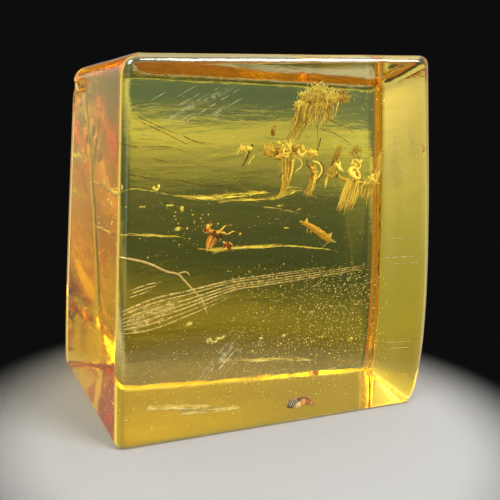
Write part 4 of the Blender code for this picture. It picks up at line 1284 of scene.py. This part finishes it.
# Light tent: colours by height over the horizon or by bearing to the right of the line square to the
# front face, in degrees. The card hangs behind the block, the side sheet to the left of the card. Between
# them is the dimmer gap GLANCE and, next to the card, the narrow orange EDGE_GLOW.
TENT = [
    (-90, (0.45, 0.43, 0.40)), (-30, (0.60, 0.58, 0.54)), (0, (0.70, 0.69, 0.66)), (18, (0.85, 0.84, 0.81)),
    (40, (1.2, 1.18, 1.15)), (58, (2.0, 2.0, 2.0)), (75, (2.0, 2.0, 2.0)), (90, (1.5, 1.5, 1.5))]
TENT_ROUND = [
    (-180, (0.2, 0.2, 0.2)), (-164, (0.2, 0.2, 0.2)), (-158, (2.4, 2.8, 2.2)), (-140, (2.4, 2.8, 2.2)),
    (-134, (0.5, 0.5, 0.5)), (-75, (0.5, 0.5, 0.5)), (-60, (1.5, 1.45, 1.4)), (60, (1.3, 1.25, 1.2)),
    (132, (1.3, 1.25, 1.2)), (142, (0.2, 0.2, 0.2)), (180, (0.2, 0.2, 0.2))]
CARD = [
    (-32, (0.46, 0.50, 1.0)), (-24, (0.46, 0.50, 1.0)), (-22.3, (0.20, 0.20, 0.20)),
    (-21, (0.12, 0.115, 0.01)), (-19.8, (0.16, 0.155, 0.02)), (-18.6, (0.23, 0.225, 0.08)),
    (-17.2, (0.21, 0.22, 0.08)), (-16.2, (0.12, 0.14, 0.07)), (-14.2, (0.05, 0.08, 0.06)),
    (-11.2, (0.08, 0.115, 0.10)), (-9.2, (0.11, 0.145, 0.13)), (-8.2, (0.24, 0.28, 0.19)),
    (-6.8, (0.34, 0.38, 0.28)), (-6.0, (0.42, 0.46, 0.30)), (-5.3, (0.60, 0.64, 0.38)),
    (-4.6, (0.62, 0.66, 0.40)), (-4.0, (0.46, 0.53, 0.40)), (-3.3, (0.17, 0.25, 0.32)),
    (-2.4, (0.11, 0.19, 0.31)), (6, (0.12, 0.20, 0.33)), (12, (0.30, 0.33, 0.28)),
    (22, (0.42, 0.35, 0.05)), (25.5, (0.44, 0.37, 0.03)), (27.5, (0.56, 0.46, 0.03)),
    (28.8, (0.66, 0.55, 0.04)), (38, (0.80, 0.75, 0.55)), (50, (1.0, 0.97, 0.90))]
CARD_TILT = 0.18
CARD_MIDDLE = 21.0
CARD_ACROSS = [
    (-5, (0.9, 0.9, 0.9)), (14, (1.15, 1.1, 1.05)), (19, (1.05, 1.03, 1.0)), (25, (0.92, 0.92, 0.92)),
    (29, (0.95, 0.97, 1.0)), (34, (1.2, 1.25, 1.5)), (60, (1.2, 1.25, 1.5))]
GLANCE = [
    (-30, (0.06, 0.06, 0.05)), (-14, (0.22, 0.28, 0.13)), (-4, (0.58, 0.56, 0.30)), (10, (0.7, 0.7, 0.6))]
SIDE_SHEET = [
    (-62, (1.40, 1.24, 0.50)), (-50, (0.84, 0.84, 0.26)), (-44, (0.84, 0.86, 0.36)), (-36, (0.94, 1.0, 0.60)),
    (-30, (1.16, 1.20, 1.0)), (-23, (1.45, 1.45, 1.6)), (-20, (1.45, 1.45, 1.6))]
SIDE_SHEET_UP = [(-8, (0.45, 0.45, 0.45)), (10, (1.15, 1.05, 0.8))]
EDGE_GLOW = (0.50, 0.20, 0.04, 1.0)
FAR_DARK = (0.004, 0.004, 0.004, 1.0)
LOW_TENT = (0.0, 25.0)
SHEET_START = (-62, -52)
GLANCE_START = (-20, -17)
GLOW_START = (-8, -5)
CARD_START = (6, 11)
CARD_END = (45, 58)


def add_world():
    """A soft light tent with a dark card behind the block. The tent itself is not in the picture."""
    world = bpy.data.worlds.new("light_tent")
    bpy.context.scene.world = world
    world.use_nodes = True
    tree = world.node_tree
    background = tree.nodes["Background"]
    place = tree.nodes.new("ShaderNodeTexCoord")
    split = tree.nodes.new("ShaderNodeSeparateXYZ")
    tree.links.new(place.outputs["Generated"], split.inputs[0])
    bearing = combine(tree, "DEGREES", combine(tree, "ARCTAN2", split.outputs["X"], split.outputs["Y"]), 0.0)
    height = combine(tree, "DEGREES", combine(tree, "ARCSINE", split.outputs["Z"], 0.0), 0.0)
    low = remap(tree, height, *LOW_TENT, 1.0, 0.0)
    tent = degree_ramp(tree, height, TENT)
    tent = mix(tree, low, tent, product(tree, tent, degree_ramp(tree, bearing, TENT_ROUND)))
    lean = combine(tree, "MULTIPLY", combine(tree, "SUBTRACT", bearing, CARD_MIDDLE), CARD_TILT)
    card = product(tree, degree_ramp(tree, combine(tree, "SUBTRACT", height, lean), CARD),
                   degree_ramp(tree, bearing, CARD_ACROSS))
    sheet = product(tree, degree_ramp(tree, bearing, SIDE_SHEET), degree_ramp(tree, height, SIDE_SHEET_UP))
    light = mix(tree, fade_in(tree, bearing, *SHEET_START), tent, sheet)
    light = mix(tree, fade_in(tree, bearing, *GLANCE_START), light, degree_ramp(tree, height, GLANCE))
    light = mix(tree, fade_in(tree, bearing, *GLOW_START), light, EDGE_GLOW)
    light = mix(tree, fade_in(tree, bearing, *CARD_START), light, card)
    light = mix(tree, fade_in(tree, bearing, *CARD_END), light, tent)
    path = tree.nodes.new("ShaderNodeLightPath")
    seen = mix(tree, path.outputs["Is Camera Ray"], light, FAR_DARK)
    tree.links.new(seen, background.inputs["Color"])
    background.inputs["Strength"].default_value = 1.0


def add_soft_light(name, place, aim, size, radiance):
    """A square lamp of the given side, in millimetres, that shines from place towards aim."""
    light = bpy.data.lights.new(name, "AREA")
    light.size = size * MM
    light.energy = radiance * math.pi * light.size ** 2
    lamp = bpy.data.objects.new(name, light)
    lamp.location = from_corner(*place)
    lamp.rotation_euler = (from_corner(*aim) - lamp.location).to_track_quat("-Z", "Y").to_euler()
    bpy.context.scene.collection.objects.link(lamp)


def add_camera():
    look = settings().stage
    turn, tilt, roll = look.camera_turn
    camera = bpy.data.cameras.new("camera")
    camera.sensor_width = 36.0
    camera.lens = camera.sensor_width * look.camera_focus
    camera.clip_start = 0.5 * MM
    camera.clip_end = 10.0
    holder = bpy.data.objects.new("camera", camera)
    holder.rotation_mode = "XYZ"
    aim = (Matrix.Rotation(-turn, 4, "Z") @ Matrix.Rotation(-tilt, 4, "X")
           @ Matrix.Rotation(roll, 4, "Y") @ Matrix.Rotation(math.pi / 2, 4, "X"))
    holder.matrix_world = Matrix.Translation(from_corner(*look.camera_place)) @ aim
    bpy.context.scene.collection.objects.link(holder)
    bpy.context.scene.camera = holder


def set_light_paths():
    """Light runs many times round inside a clear block before it leaves it."""
    cycles = bpy.context.scene.cycles
    cycles.max_bounces = 24
    cycles.transmission_bounces = 20
    cycles.glossy_bounces = 16
    cycles.diffuse_bounces = 4
    cycles.transparent_max_bounces = 24
    cycles.sample_clamp_indirect = 6.0
    bpy.context.scene.view_settings.view_transform = "Standard"


class AMBER_OT_stage(bpy.types.Operator):
    """Pale floor, soft light tent and the camera"""

    bl_idname = "amber.stage"
    bl_label = "Stage"

    def execute(self, context):
        add_camera()
        add_floor()
        add_world()
        add_soft_light("soft_light_left", (-60.0, -50.0, 90.0), (5.0, 3.0, 12.0), 40.0, 16.0)
        add_soft_light("soft_light_right", (60.0, -80.0, 100.0), (7.0, 4.0, 9.0), 60.0, 22.0)
        set_light_paths()
        return {"FINISHED"}


class AMBER_PT_fossil(bpy.types.Panel):
    bl_label = "Amber fossil"
    bl_idname = "AMBER_PT_fossil"
    bl_space_type = "VIEW_3D"
    bl_region_type = "UI"
    bl_category = "Amber"

    def draw(self, context):
        for operator in OPERATORS:
            self.layout.operator(operator.bl_idname)


OPERATORS = (
    AMBER_OT_stage,
    AMBER_OT_clear_block,
    AMBER_OT_flower_tuft,
    AMBER_OT_floret_row,
    AMBER_OT_stamen_brush,
    AMBER_OT_plant_fragment,
    AMBER_OT_fly,
    AMBER_OT_midge,
    AMBER_OT_beetle,
    AMBER_OT_cracks,
    AMBER_OT_surface_marks,
    AMBER_OT_specks,
)
CLASSES = (BlockSettings, AmberSettings, InclusionSettings, StageSettings, FossilSettings,
           *OPERATORS, AMBER_PT_fossil)


def register():
    for one in CLASSES:
        bpy.utils.register_class(one)
    bpy.types.Scene.amber_fossil = PointerProperty(type=FossilSettings)


def unregister():
    del bpy.types.Scene.amber_fossil
    for one in reversed(CLASSES):
        bpy.utils.unregister_class(one)


def main():
    register()
    for operator in OPERATORS:
        group, name = operator.bl_idname.split(".")
        getattr(getattr(bpy.ops, group), name)()


if __name__ == "__main__":
    main()
